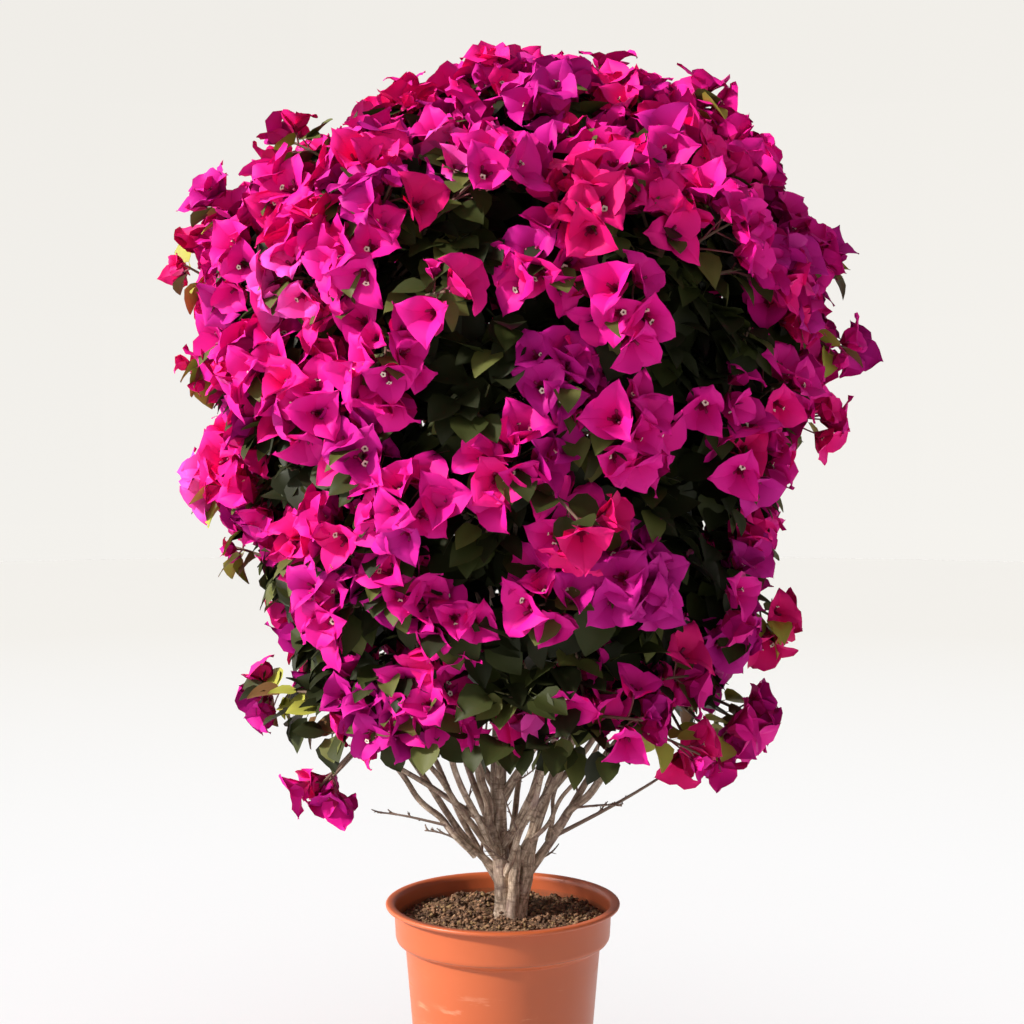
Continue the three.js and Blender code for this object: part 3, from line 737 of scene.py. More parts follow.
def build_soil_bed():
    radius = np.linspace(0.5, POT_RIM_RADIUS - POT_WALL - SOIL_ROOM, SOIL_RINGS)[:, None]
    angle = 2 * np.pi * np.arange(SOIL_SIDES) / SOIL_SIDES
    x, y = radius * np.cos(angle), radius * np.sin(angle)
    top = np.stack([x, y, soil_height(x, y)], axis=-1)
    skirt = top[-1:] * (1, 1, 0) + (0, 0, SOIL_SKIRT)
    places = np.concatenate([top, skirt]).reshape(-1, 3)
    faces = grid_faces(SOIL_RINGS + 1, SOIL_SIDES, wrap=True)
    piece = mesh_object("soil_bed", places, faces, [soil_earth()])
    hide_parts("soil")


def build_crumbs():
    """Crumbs that lie on the soil. Each is an octahedron with its corners pulled about."""
    pile = Pile("soil_crumbs", "soil", CRUMB_TINTS)
    draw = stream(CRUMB_SEED)
    faces = hull_faces(OCTAHEDRON)
    for _ in range(CRUMBS):
        away = math.sqrt(draw()) * (POT_RIM_RADIUS - POT_WALL - CRUMB_ROOM)
        angle = draw() * 2 * math.pi
        x, y = away * math.cos(angle), away * math.sin(angle)
        clump = float(waves(np.array(x), np.array(y), *CRUMB_CLUMPS))
        size = between(*CRUMB_SIZES, draw() ** 2.6) + max(0.0, clump) * 0.5
        stretches = [[between(0.45, 1.35, draw())] for _ in OCTAHEDRON]
        shears = [[draw() - 0.5, 0, 0] for _ in OCTAHEDRON]
        corners = OCTAHEDRON * stretches + shears
        height = float(soil_height(np.array(x), np.array(y))) + size * 0.3 + max(0.0, clump) * draw() * 2
        tint = int(draw() * 2.3 + (draw() < 0.2) + (clump < -0.4) * -0.6)
        pile.add(corners * (1, 1, 0.8) * size + (x, y, height), faces, tint)
    pile.pieces()


def hull_faces(places):
    """The triangles of a small convex shape's hull."""
    work = bmesh.new()
    for place in places:
        work.verts.new(place)
    bmesh.ops.convex_hull(work, input=work.verts)
    work.verts.index_update()
    faces = np.array([[v.index for v in face.verts] + [-1] for face in work.faces])
    work.free()
    return faces


# ---------------------------------------------------------------- the trunk and boughs

BARK = Pile("bark_limbs", "bark", [bark()])
WOOD = Pile("twigs", "bark", TWIG_TINTS)


BARK_RIDGES = 6  # waves that run along a limb
BARK_CRACKS = 5  # waves that run across it
CRACK_DEPTH = 0.22  # against the ridges
BARK_DEPTH = (0.018, 0.06)  # of the relief, as a share of the limb's radius and in millimetres
COLLAR_LENGTH = 20
LOBES_LENGTH = 160


def bark_relief(angle, along, seed):
    """How far the bark stands out, from about -1 to 1: long ridges, broken by cracks across them."""
    draw = stream(seed)
    total = np.zeros(np.broadcast(angle, along).shape)
    for _ in range(BARK_RIDGES):
        turns = 2 + int(draw() * 7)
        slant = between(-0.12, 0.12, draw())
        total += np.sin(turns * angle + along * slant + draw() * PHASES) / math.sqrt(BARK_RIDGES)
    for _ in range(BARK_CRACKS):
        turns = int(draw() * 3)
        pace = between(0.25, 0.9, draw())
        total += CRACK_DEPTH * np.sin(turns * angle + along * pace + draw() * PHASES)
    return total


def add_limb(limb, seed, sides, spacing, collar=0.0, lobes=0.0, sway=1.6):
    """A limb with the bark's relief. `collar` swells its foot, where it leaves the trunk, `lobes` flutes it,
    and `sway` bends it to and fro."""
    curve = bezier(limb.pulls, np.linspace(0, 1, 30))
    length = np.linalg.norm(np.diff(curve, axis=0), axis=1).sum()
    shares = np.linspace(0, 1, max(8, int(length / spacing)))
    draw = stream(seed)
    paces = [between(9, 16, draw()) for _ in range(3)]
    starts = [draw() * PHASES for _ in range(3)]
    bends = np.sin(shares[:, None] * paces + starts)
    points = bezier(limb.pulls, shares) + sway * bends * (np.sin(np.pi * shares) ** 0.7)[:, None]
    along = (shares * length)[:, None]
    angle = 2 * np.pi * np.arange(sides) / sides
    radius = limb.radius_at(shares)[:, None]
    swell = 1 + collar * np.exp(-along / COLLAR_LENGTH)
    flutes = 1 + lobes * np.sin(2 * angle + 0.9 + along * 0.004) * np.exp(-along / LOBES_LENGTH)
    relief = bark_relief(angle, along, seed)
    radii = radius * swell * flutes * (1 + BARK_DEPTH[0] * relief) + BARK_DEPTH[1] * relief
    places, faces = tube(points, radii, sides)
    grain = [radius * np.cos(angle), radius * np.sin(angle), along + 0 * angle + seed * 90]
    grain = np.stack(grain, axis=-1).reshape(-1, 3)
    BARK.add(places, faces, 0, np.vstack([grain, grain[-1]]))
    return points, radii.mean(axis=1)


def add_thorn(root, direction, length, radius):
    points = np.linspace(root, root + direction * length, 3)
    WOOD.add(*tube(points, np.array([radius, radius * 0.6, 0.15]), 5), TWIG_BROWN)


def add_twiglet(root, direction, length, draw, steps=7):
    """A short bare side twig with a bend and three thorns, as stand on the open lower boughs."""
    side, up = square_to(direction)
    bend = side * between(-0.3, 0.3, draw()) + up * between(0.0, 0.35, draw())
    shares = np.linspace(0, 1, steps)[:, None]
    points = root + direction * length * shares + bend * length * shares**2
    WOOD.add(*tube(points, np.linspace(1.25, 0.55, steps), 6), TWIG_BARK)
    for share in (0.35, 0.6, 0.82):
        at = points[int(share * (steps - 1))]
        out = unit(side * between(-1, 1, draw()) + up * between(-0.4, 1, draw()) + direction * 0.7)
        add_thorn(at, out, between(4, length * 0.28, draw()), 0.75)


# The thinner stems that show among the boughs: the radius at the foot and at the tip, then the curve's pulls.
SIDE_STEMS = [
    (5.2, 4.0, (-8, -6, 268), (-12, -9, 290), (-17, -12, 318), (-30, -22, 380)),
    (8.8, 3.8, (14, -3, 186), (19, -3, 222), (24, -5, 268), (62, -16, 376)),
    (4.8, 3.8, (17, -6, 248), (30, -8, 290), (46, -8, 322), (70, -14, 374)),
    (4.2, 3.4, (50, -3, 278), (70, -5, 304), (92, -8, 326), (128, -14, 372)),
    (3.2, 2.4, (-12, -5, 284), (-40, -12, 306), (-66, -20, 324), (-108, -30, 352)),
    (3.6, 2.6, (-26, -4, 256), (-52, -10, 282), (-76, -14, 306), (-112, -20, 356)),
    (2.4, 1.7, (18, -7, 256), (40, -12, 286), (60, -16, 312), (98, -22, 376)),
    (2.2, 1.5, (44, -3, 270), (50, -6, 300), (52, -9, 326), (58, -12, 376)),
]
# Bare thin twigs that end in the open, with thorns and short side twigs.
BARE_TWIGS = [
    (2.2, 1.1, (54, -3, 276), (93, -6, 297), (130, -8, 316), (172, -8, 346)),
    (1.5, 0.8, (-56, -11, 287), (-76, -14, 292), (-98, -15, 299), (-122, -14, 300)),
    (1.2, 0.7, (-40, -8, 269), (-50, -10, 276), (-60, -12, 281), (-76, -13, 282)),
    (1.3, 0.8, (70, -6, 303), (88, -8, 305), (100, -10, 308), (116, -12, 306)),
]


# A sawn-off stem at the foot, in front of the trunk, whose cut shows pale wood.
STUB = Limb("stub", ((9, -9, 196), (10, -12, 222), (12, -13, 242), (13, -13, 264)), tapering(5.6, 4.8))
STUB_SIDES = 16
STUB_CUT = (0.5, 3.4)  # how far over the stub's end its cut face starts and ends

TRUNK_SEED, STUB_SEED, BOUGH_SEED, SIDE_STEM_SEED, BARE_TWIG_SEED, GROWTH_SEED = 3, 8, 11, 60, 77, 300
BARE_HEIGHTS = (226, 380)  # between these the boughs show, and bear thorns and short side twigs


def add_side_growth(points, radii, draw):
    """Thorns and short side twigs on the part of a bough that shows."""
    steps = np.flatnonzero((points[:, 2] > BARE_HEIGHTS[0]) & (points[:, 2] < BARE_HEIGHTS[1]))
    for step in steps[4::6]:
        direction = unit(points[step + 1] - points[step])
        side, up = square_to(direction)
        turn = draw() * 2 * math.pi
        out = turned(side, up, turn)
        root = points[step] + out * radii[step] * 0.6
        if draw() < 0.24:
            add_twiglet(root, unit(out + direction * 0.9), between(22, 52, draw()), draw)
        else:
            add_thorn(root, unit(out + direction * 0.5), between(2.5, 5.5, draw()), between(0.8, 1.3, draw()))


def add_stub():
    points, radii = add_limb(STUB, STUB_SEED, STUB_SIDES, spacing=3.0, collar=0.25, sway=0.3)
    up = unit(points[-1] - points[-2])
    cut = np.array([points[-1] + up * height for height in STUB_CUT])
    WOOD.add(*tube(cut, radii[-1] * np.array([0.99, 0.9]), STUB_SIDES), CUT_WOOD)


def add_bare_twig(foot_radius, tip_radius, pulls, draw, steps=16):
    points = bezier(pulls, np.linspace(0, 1, steps))
    WOOD.add(*tube(points, np.linspace(foot_radius, tip_radius, steps), 8), TWIG_BARK)
    direction = unit(points[-1] - points[0])
    for step in (5, 8, 11, 14):
        out = unit(direction + (0, between(-0.4, 0.4, draw()), between(-0.3, 1, draw())))
        add_twiglet(points[step], out, between(3, 8, draw()) * foot_radius, draw)


def build_limbs():
    add_limb(TRUNK, TRUNK_SEED, sides=30, spacing=3.0, lobes=0.13)
    for i, (foot_radius, tip_radius, *pulls) in enumerate(SIDE_STEMS):
        stem = Limb(f"side_stem_{i + 1}", pulls, tapering(foot_radius, tip_radius))
        add_limb(stem, SIDE_STEM_SEED + i, sides=12, spacing=4.0, collar=0.3)
    for i, bough in enumerate(BOUGHS):
        points, radii = add_limb(bough, BOUGH_SEED + i, sides=12, spacing=5.5, collar=0.25)
        add_side_growth(points, radii, stream(GROWTH_SEED + i))
    add_stub()
    for i, (foot_radius, tip_radius, *pulls) in enumerate(BARE_TWIGS):
        add_bare_twig(foot_radius, tip_radius, pulls, stream(BARE_TWIG_SEED + i))


# ---------------------------------------------------------------- flowers and leaves

Flower = namedtuple("Flower", "at facing size opening tint open_florets")
Leaf = namedtuple("Leaf", "root out face size tint")

SHAPE_SEED = 12
# A bract's rows run from its foot to its tip, as shares of its length, and its columns across it, as shares
# of half its width. Pairs are ranges that each bract draws from, and angles are radians.
BRACT = SimpleNamespace(
    rows=np.array([0, 0.08, 0.19, 0.33, 0.48, 0.63, 0.77, 0.89, 1]),
    half_widths=np.array([0.20, 0.50, 0.82, 1.0, 1.01, 0.88, 0.58, 0.22, 0.01]),
    columns=np.array([-1, -0.56, -0.09, 0, 0.09, 0.56, 1]),
    foot_radius=1.2,  # of the ring that a flower's bracts stand on
    foot_tilt=0.34,  # off the flower's facing
    foot_tilt_spread=0.1,
    opening_spread=0.22,
    flare=(0.8, 2.1),
    tip_curl=(0.1, 1.5),
    widths=(0.86, 1.14),
    edge=(0.95, 1.06),
    keel=(0.2, 0.6),
    foot_cup=0.5,
    tip_cup=(-1.0, 0.1),
    wave=(0.8, 2.8),
    wave_pace=(6, 13),
    crinkle=0.6,
    twist=0.25,
    turn_spread=0.12,
    painted_throat_rows=2,  # rows of faces at the foot in the throat's painted shade
    painted_midrib_rows=3,  # rows over which the midrib's crease shows that painted shade too
)
# A bract's columns in its two halves, which part at the midrib for a crisp crease.
HALVES = [0, 1, 2, 3, 3, 4, 5, 6]
MIDRIB = 3  # the column that both halves have
FLORET = SimpleNamespace(
    radii=np.array([1.5, 1.0, 1.5]),
    length=15.5,
    closed_length=12.5,
    dome=1.03,  # height of a closed tube's end, against its length
    ring=1.5,  # radius of the ring that a flower's tubes stand on
    lean=0.36,
    star=((3.2, 0.3), (2.5, 0.8)),  # radius and height of the star's points and of the notches between them
    eye=(1.15, 0.6),
)
LEAF = SimpleNamespace(
    rows=np.array([0, 0.12, 0.34, 0.6, 0.82, 1]),
    columns=np.linspace(-1, 1, 5),
    stalk=0.2,
    stalk_half_width=0.018,
    half_width=0.37,
    tip_half_width=0.012,
    widths=(0.85, 1.12),
    droop=(0.1, 0.42),
    fold=(0.1, 0.45),
    ripple=0.03,
)


def blade_places(opening, flare, rng):
    """One bract of each flower: how far its places stand outwards, across and along the flower's facing."""
    n = len(opening)
    rows, columns = BRACT.rows, BRACT.columns
    tilt_end = (opening + rng.uniform(-BRACT.opening_spread, BRACT.opening_spread, n))[:, None]
    tilt_foot = (BRACT.foot_tilt + rng.uniform(-BRACT.foot_tilt_spread, BRACT.foot_tilt_spread, n))[:, None]
    tilt = between(tilt_foot, tilt_end, rows**flare) + rng.uniform(*BRACT.tip_curl, (n, 1)) * rows**4
    middle_tilt = (tilt[:, 1:] + tilt[:, :-1]) / 2
    run = np.diff(rows) * FLOWER_LENGTH
    start = np.zeros((n, 1))
    x = BRACT.foot_radius + np.concatenate([start, np.cumsum(np.sin(middle_tilt) * run, axis=1)], axis=1)
    z = np.concatenate([start, np.cumsum(np.cos(middle_tilt) * run, axis=1)], axis=1)
    half = FLOWER_WIDTH / 2 * BRACT.half_widths * rng.uniform(*BRACT.widths, (n, 1))
    half = half * rng.uniform(*BRACT.edge, (n, len(rows)))
    keel = rng.uniform(*BRACT.keel, (n, 1))
    cup = between(BRACT.foot_cup, rng.uniform(*BRACT.tip_cup, (n, 1)), rows)
    across = np.abs(columns)
    lift = half[..., None] * (keel[..., None] * across + cup[..., None] * across**2)
    wave = rng.uniform(*BRACT.wave, (n, 1, 1))
    phase = rows[:, None] * rng.uniform(*BRACT.wave_pace, (n, 1, 1)) + columns * 1.3
    wave = wave * np.sin(phase + rng.uniform(0, PHASES, (n, 1, 1)))
    crinkle = rng.normal(0, BRACT.crinkle, (n, len(rows), len(columns)))
    lift = lift + wave * across**1.5 + crinkle * np.sqrt(rows[:, None]) * (0.35 + across)
    twist = rng.uniform(-BRACT.twist, BRACT.twist, (n, 1, 1))
    lift = lift + twist * rows[:, None] * columns * half[..., None]
    x = x[..., None] - np.cos(tilt)[..., None] * lift
    z = z[..., None] + np.sin(tilt)[..., None] * lift
    return x, half[..., None] * columns, z


def bract_places(flowers, rng):
    """Three bracts to a flower, each a pointed papery blade with a keeled midrib, cupped at its foot and
    flaring outwards, with a wavy edge. They form a three-cornered cup round the flower's facing."""
    n = len(flowers)
    at = np.array([flower.at for flower in flowers])[:, None, None]
    facing = unit(np.array([flower.facing for flower in flowers]))
    side, up = square_to(facing)
    size = np.array([flower.size for flower in flowers])[:, None, None]
    opening = np.radians([flower.opening for flower in flowers])
    spin = rng.uniform(0, 2 * np.pi, n)
    flare = rng.uniform(*BRACT.flare, (n, 1))
    all_places = []
    for blade in range(3):
        x, y, z = blade_places(opening, flare, rng)
        angle = spin + blade * 2 * np.pi / 3 + rng.uniform(-BRACT.turn_spread, BRACT.turn_spread, n)
        outward = side * np.cos(angle)[:, None] + up * np.sin(angle)[:, None]
        crossing = np.cross(facing, outward)
        places = (
            (x * size)[..., None] * outward[:, None, None]
            + (y * size)[..., None] * crossing[:, None, None]
            + (z * size)[..., None] * facing[:, None, None]
        )
        all_places.append((places + at)[:, :, HALVES].reshape(n, -1, 3))
    return all_places, side, up, spin


def floret_shapes():
    """A closed tube, the star that opens it and the dark eye in that, each as places and faces."""
    tube_places, tube_faces = tube(np.linspace((0, 0, 0), (0, 0, 1), 3), FLORET.radii, 4)
    tube_places[-1, 2] = FLORET.dome
    corner = np.arange(10)
    turn = np.pi / 5 * corner
    (reach, height), (notch_reach, notch_height) = FLORET.star
    reach = np.where(corner % 2, notch_reach, reach)
    height = np.where(corner % 2, notch_height, height)
    star = np.stack([reach * np.cos(turn), reach * np.sin(turn), height], 1)
    star = np.vstack([star, (0, 0, 0)])
    star_faces = np.stack([corner, (corner + 1) % 10, np.full(10, 10), np.full(10, -1)], 1)
    turn = 2 * np.pi / 5 * np.arange(5)
    radius, height = FLORET.eye
    eye = np.stack([radius * np.cos(turn), radius * np.sin(turn), np.full(5, height)], 1)
    eye_faces = np.array([[0, 1, 2, -1], [0, 2, 3, -1], [0, 3, 4, -1]])
    return (tube_places, tube_faces), (star, star_faces), (eye, eye_faces)


def add_florets(flowers, side, up, spin, pile):
    """Three tubes to a flower, one over the foot of each bract. The first ones are open in a pale five-lobed
    star with a dark eye, and the others are still closed."""
    (tube_places, tube_faces), (star, star_faces), (eye, eye_faces) = floret_shapes()
    for i, flower in enumerate(flowers):
        for blade in range(3):
            angle = spin[i] + blade * 2 * math.pi / 3
            outward = turned(side[i], up[i], angle)
            axis = unit(flower.facing + outward * FLORET.lean)
            across, over = square_to(axis)
            basis = np.array([across, over, axis]) * flower.size
            is_open = blade < flower.open_florets
            length = FLORET.length if is_open else FLORET.closed_length
            root = flower.at + outward * FLORET.ring * flower.size
            pile.add(tube_places * (1, 1, length) @ basis + root, tube_faces, FLORET_TUBE)
            if is_open:
                top = root + axis * length * flower.size
                pile.add(star @ basis + top, star_faces, FLORET_LOBE)
                pile.add(eye @ basis + top, eye_faces, FLORET_EYE)


def leaf_places(leaves, rng):
    """Heart-shaped pointed leaves on short stalks, folded along the midrib, with the tip bent down."""
    n = len(leaves)
    rows, columns = LEAF.rows, LEAF.columns
    out = np.array([leaf.out for leaf in leaves])
    face = np.array([leaf.face for leaf in leaves])
    side = unit(np.cross(out, face))
    face = np.cross(side, out)
    size = np.array([leaf.size for leaf in leaves])[:, None]
    along = np.concatenate([[0], LEAF.stalk + (1 - LEAF.stalk) * rows])
    blade = np.maximum(LEAF.half_width * np.sin(np.pi * rows**0.72) ** 0.85, LEAF.tip_half_width)
    half = np.concatenate([[LEAF.stalk_half_width], blade]) * rng.uniform(*LEAF.widths, (n, 1))
    droop = rng.uniform(*LEAF.droop, (n, 1)) * along**2.2
    across = np.abs(columns)
    fold = rng.uniform(*LEAF.fold, (n, 1, 1))
    lift = half[..., None] * fold * across - droop[..., None]
    ripple = rng.uniform(-LEAF.ripple, LEAF.ripple, (n, 1, 1))
    lift = lift + ripple * np.sin(along[:, None] * 9 + columns * 2) * across
    lift = lift * size[..., None]
    root = np.array([leaf.root for leaf in leaves])
    places = (
        root[:, None, None]
        + (along * size)[..., None, None] * out[:, None, None]
        + (half[..., None] * columns * size[..., None])[..., None] * side[:, None, None]
        + lift[..., None] * face[:, None, None]
    )
    return places.reshape(n, -1, 3), grid_faces(len(along), len(columns))


# ---------------------------------------------------------------- sprays


def make_hollows():
    """Middles and radii of the leafy hollows, dealt out by a coarse spiral with random shifts."""
    draw = stream(HOLLOW_SEED)
    share_shift, turn_shift = HOLLOW_SHIFTS
    middles, radii = [], []
    for k, share in enumerate(even_shares(HOLLOWS)):
        share = share + (draw() - 0.5) * share_shift
        turn = (draw() - 0.5) * turn_shift
        middle, _ = on_crown(min(max(share, 0.02), 0.96), k * GOLDEN_ANGLE + turn)
        closing = np.interp(middle[2], HOLLOWS_CLOSING, (0, 1))
        middles.append(middle)
        radii.append(between(*HOLLOW_RADII, draw()) * between(1, CLOSED_HOLLOW, closing))
    return np.array(middles), np.array(radii)


HOLLOW_MIDDLES, HOLLOW_REACHES = make_hollows()


def in_hollow(point):
    """Whether a point of the crown's surface lies in one of the leafy hollows."""
    return bool((np.linalg.norm(HOLLOW_MIDDLES - point, axis=1) < HOLLOW_REACHES).any())


# Painted light in the sprays' bract tints: how warm a tint is at the crown's sunlit left and shaded right
# edge, and how much warmer at its sunlit top.
PAINTED_SUN_WARMTHS = (0.62, 0.2)
PAINTED_TOP_SUN_WARMTH = 0.12
HALF_WIDTH = 320
MIDDLE_HEIGHT = 680
HALF_HEIGHT = 350


def painted_light_tint_of(point, draw):
    """A spray's bract tint, dealt by place as painted light and shade: hotter pink on the sunny left and top,
    more purple on the shaded right.
    """
    painted_sun = between(*PAINTED_SUN_WARMTHS, (point[0] + HALF_WIDTH) / (2 * HALF_WIDTH))
    painted_sun = painted_sun + PAINTED_TOP_SUN_WARMTH * (point[2] - MIDDLE_HEIGHT) / HALF_HEIGHT
    roll = draw()
    # The pale tint is a painted highlight, dealt more often where the tint is warmer.
    if roll < painted_sun * 0.14:
        return PALE_PAINTED_HIGHLIGHT
    if roll < painted_sun * 0.66:
        return HOT_PINK
    if roll < painted_sun * 0.66 + 0.46:
        return MAGENTA
    if roll < 0.95:
        return PURPLE if draw() > painted_sun else MAGENTA
    return DEEP


def shoot_tints(end):
    """Young leaves on the shoots at the sides of the crown, older ones on those at its front and back."""
    return SIDE_SHOOT_TINTS if abs(end.normal[1]) < 0.6 else OTHER_SHOOT_TINTS


# A spray's stalks. Pairs are ranges that each stalk draws from, apart from its radii.
SPRAY = SimpleNamespace(
    shoot_radius=0.7,  # of a shoot's head, against CLUSTER_RADIUS
    raggedness=(-5, 10),
    lift=20,  # how far over the head's middle the flowers seem to come from, which turns their faces apart
    shoot_lift=12,
    young=0.1,  # share of the flowers that are small and still closed
    shoot_young=0.2,
    young_sizes=(0.4, 0.6),
    sizes=(0.76, 1.08),
    young_openings=(26, 40),  # degrees between a bract and its flower's facing
    openings=(52, 86),
    spray_tinted=0.7,  # share of the flowers that have their spray's tint
    leaf_share=0.62,  # of the stalks, which bear a leaf lower down too
    stalk_radii=(1.0, 0.7),  # at its foot and at its tip
)
SHOOT_REACH = 30  # how far out of the crown's surface a shoot's leaves may stand
STEM_LEAVING = (0.3, 0.97)  # the shares of its stem that a mass's twigs leave it between
LEAVES_FROM, LEAVES_DEEP_TO, LEAVES_TO = 0.08, 0.55, 0.97  # shares of a twig
INNER_SEED = 1000
INNER_REACH = (8, 112)  # from the mass's centre
INNER_LENGTH = (44, 56)
INNER_DEPTH = 30


class Crown:
    """Grows the crown's twigs and gathers what they bear."""

    def __init__(self):
        self.flowers, self.leaves = [], []

    def leaf(self, root, away, draw, tints, reach_out, size=None):
        """A leaf that leaves its twig sideways and hangs, with its face turned up and outwards. One whose tip
        would stand further than `reach_out` out of the crown's surface is left out."""
        outside = unit(root * (1, 1, 0) + 1e-6)
        out = unit(away + np.array([0, 0, -0.55]) + outside * 0.25)
        face = np.array([0, 0, 1.0]) + outside * between(0.3, 1.3, draw())
        face = unit(face + aimed(draw() * 360, 0) * 0.35)
        length = size or between(*LEAF_LENGTH, draw())
        tint = tints[int(draw() * len(tints))]
        if depth_inside(root + out * length) > -reach_out:
            self.leaves.append(Leaf(root, out, face, length, tint))

    def leaves_along(self, line, shares, draw, tints, reach_out):
        direction = unit(line[-1] - line[0])
        side, up = square_to(direction)
        spin = draw() * 2 * math.pi
        for i, share in enumerate(shares):
            away = turned(side, up, spin + i * GOLDEN_ANGLE) + direction * 0.45
            self.leaf(line[int(share * (len(line) - 1))], away, draw, tints, reach_out)

    def twig(self, start, tip, radii, draw, finish=TWIG_BROWN, steps=9, sides=6):
        """A twig that bows a little, drawn as a tube; returns its line."""
        length = np.linalg.norm(tip - start)
        side, up = square_to(unit(tip - start))
        bow = side * between(-0.07, 0.07, draw()) + up * between(-0.02, 0.1, draw())
        shares = np.linspace(0, 1, steps)[:, None]
        line = between(start, tip, shares) + bow * length * np.sin(np.pi * shares)
        WOOD.add(*tube(line, np.linspace(*radii, steps), sides), finish)
        return line

    def flower(self, tip, face, size, young, spray_tint, draw):
        opening = between(*(SPRAY.young_openings if young else SPRAY.openings), draw())
        florets = 0 if young else int(draw() * 2.2)
        tint = spray_tint if draw() < SPRAY.spray_tinted else int(draw() * 3.3)
        self.flowers.append(Flower(tip - face * 3, face, size, opening, tint, florets))

    def spray(self, line, end, facing, flowers, depth, hollow, draw):
        """The finer stalks at a twig's end, in a rounded head. Each bears a flower or leaves."""
        side, up = square_to(facing)
        tint = painted_light_tint_of(line[-1], draw)
        spin = draw() * 2 * math.pi
        count = int(between(*flowers, draw()))
        radius = CLUSTER_RADIUS * (SPRAY.shoot_radius if end.is_shoot else 1)
        for i in range(count):
            off = radius * math.sqrt((i + 0.3) / count)
            outward = turned(side, up, spin + i * GOLDEN_ANGLE)
            behind = HEAD_ROUNDNESS * off + between(*SPRAY.raggedness, draw())
            tip = line[-1] + outward * off - facing * behind
            heading = unit(outward * off + facing * (SPRAY.shoot_lift if end.is_shoot else SPRAY.lift))
            young = draw() < (SPRAY.shoot_young if end.is_shoot else SPRAY.young)
            size = between(*(SPRAY.young_sizes if young else SPRAY.sizes), draw())
            face = unit(heading + end.normal * 0.2 + aimed(draw() * 360, between(-40, 60, draw())) * 0.45)
            if not end.is_shoot:
                reach = tip + face * FLOWER_LENGTH * 0.55 * size
                fall = HEAD_ROUNDNESS * off * off / radius
                tip = tip + end.normal * min(0, depth_inside(reach) - depth - fall - between(0, 8, draw()))
            in_flower = end.is_shoot or not (hollow or in_hollow(tip + end.normal * depth))
            finish = TWIG_RED if in_flower else TWIG_GREEN
            root = line[max(-2 - i // 2, -5)]
            stalk = self.twig(root, tip, SPRAY.stalk_radii, draw, finish, steps=4, sides=4)
            if in_flower:
                self.flower(tip, face, size, young, tint, draw)
            else:
                for k in range(3):
                    away = unit(heading * 0.5 + aimed(draw() * 360, between(-30, 30, draw())))
                    self.leaf(stalk[-1 - k % 2], away, draw, SHADED_LEAF_TINTS, -HOLLOW_LEAVES)
            if draw() < SPRAY.leaf_share:
                away = unit(heading + aimed(draw() * 360, -10))
                tints = shoot_tints(end) if end.is_shoot else SPRAY_LEAF_TINTS
                self.leaf(stalk[1], away, draw, tints, SHOOT_REACH if end.is_shoot else -2)

    def inner_leaves(self, mass):
        """Large leaves round a mass's stem, mostly in the darkest tint as painted shade, which close the
        crown to sight.
        """
        draw = stream(SEED + INNER_SEED + len(self.leaves))
        for _ in range(INNER_LEAVES):
            away = aimed(draw() * 360, between(-50, 70, draw()))
            root = mass.centre + away * between(*INNER_REACH, draw() ** 0.6)
            length = between(*INNER_LENGTH, draw())
            self.leaf(root, away, draw, INNER_PAINTED_SHADE_TINTS, -INNER_DEPTH, length)

    def branch(self, mass, start, end):
        """A twig from its mass's stem to its end, with its leaves and its spray."""
        draw = stream(SEED + end.seed)
        share = draw()
        inset = between(*TWIG_INSET, share) * (not end.is_shoot)
        depth = between(*CLUSTER_DEPTH, share)
        hollow = not end.is_shoot and in_hollow(end.point)
        tip = end.point - end.normal * (inset + HOLLOW_DEPTH * hollow)
        if not end.is_shoot:
            tip = tip + end.normal * min(0, depth_inside(tip) - inset)
        along = unit(tip - start)
        leaning = aimed(between(0, 360, draw()), between(-30, 60, draw()))
        facing = unit(end.normal + 1.1 * along + 0.4 * leaning)
        draw()  # the way a whorl's blade points in the part's source
        leafy = draw() < mass.tier.leaf_share
        flowers = end.flowers or (LEAFY_FLOWERS if leafy or hollow else FLOWERS)
        line = self.twig(start, tip, TWIG_RADII, draw)
        spacing = LEAF_GAP / max(np.linalg.norm(tip - start), LEAF_GAP)
        deep = np.arange(LEAVES_FROM, LEAVES_DEEP_TO, spacing)
        self.leaves_along(line, deep, draw, SHADED_LEAF_TINTS, -8)
        if end.is_shoot:
            tints, reach_out = shoot_tints(end), SHOOT_REACH
        elif hollow:
            tints, reach_out = SHADED_LEAF_TINTS, -HOLLOW_LEAVES
        else:
            tints, reach_out = OPEN_LEAF_TINTS, 2 if leafy else -7
        self.leaves_along(line, np.arange(LEAVES_DEEP_TO, LEAVES_TO, spacing), draw, tints, reach_out)
        if flowers is NO_FLOWERS:
            self.leaves_along(line, (0.8, 0.9, 1.0, 1.0), draw, OPEN_LEAF_TINTS, 2 * SHOOT_REACH)
        self.spray(line, end, facing, flowers, depth, hollow, draw)

    def grow(self, mass, ends):
        """A mass of foliage: its stem, the leaves round that, and a twig to each of its ends."""
        stem_tip = mass.stem_foot + mass.direction * STEM_LENGTH
        stem_line = np.linspace(mass.stem_foot - mass.direction * CLEARANCE, stem_tip, 6)
        WOOD.add(*tube(stem_line, np.linspace(*STEM_RADII, 6), 8), TWIG_BROWN)
        self.inner_leaves(mass)
        for k, end in enumerate(sorted(ends, key=lambda end: end.point @ mass.direction)):
            leaving = between(*STEM_LEAVING, (k + 0.5) / len(ends))
            self.branch(mass, between(mass.stem_foot, stem_tip, leaving), end)


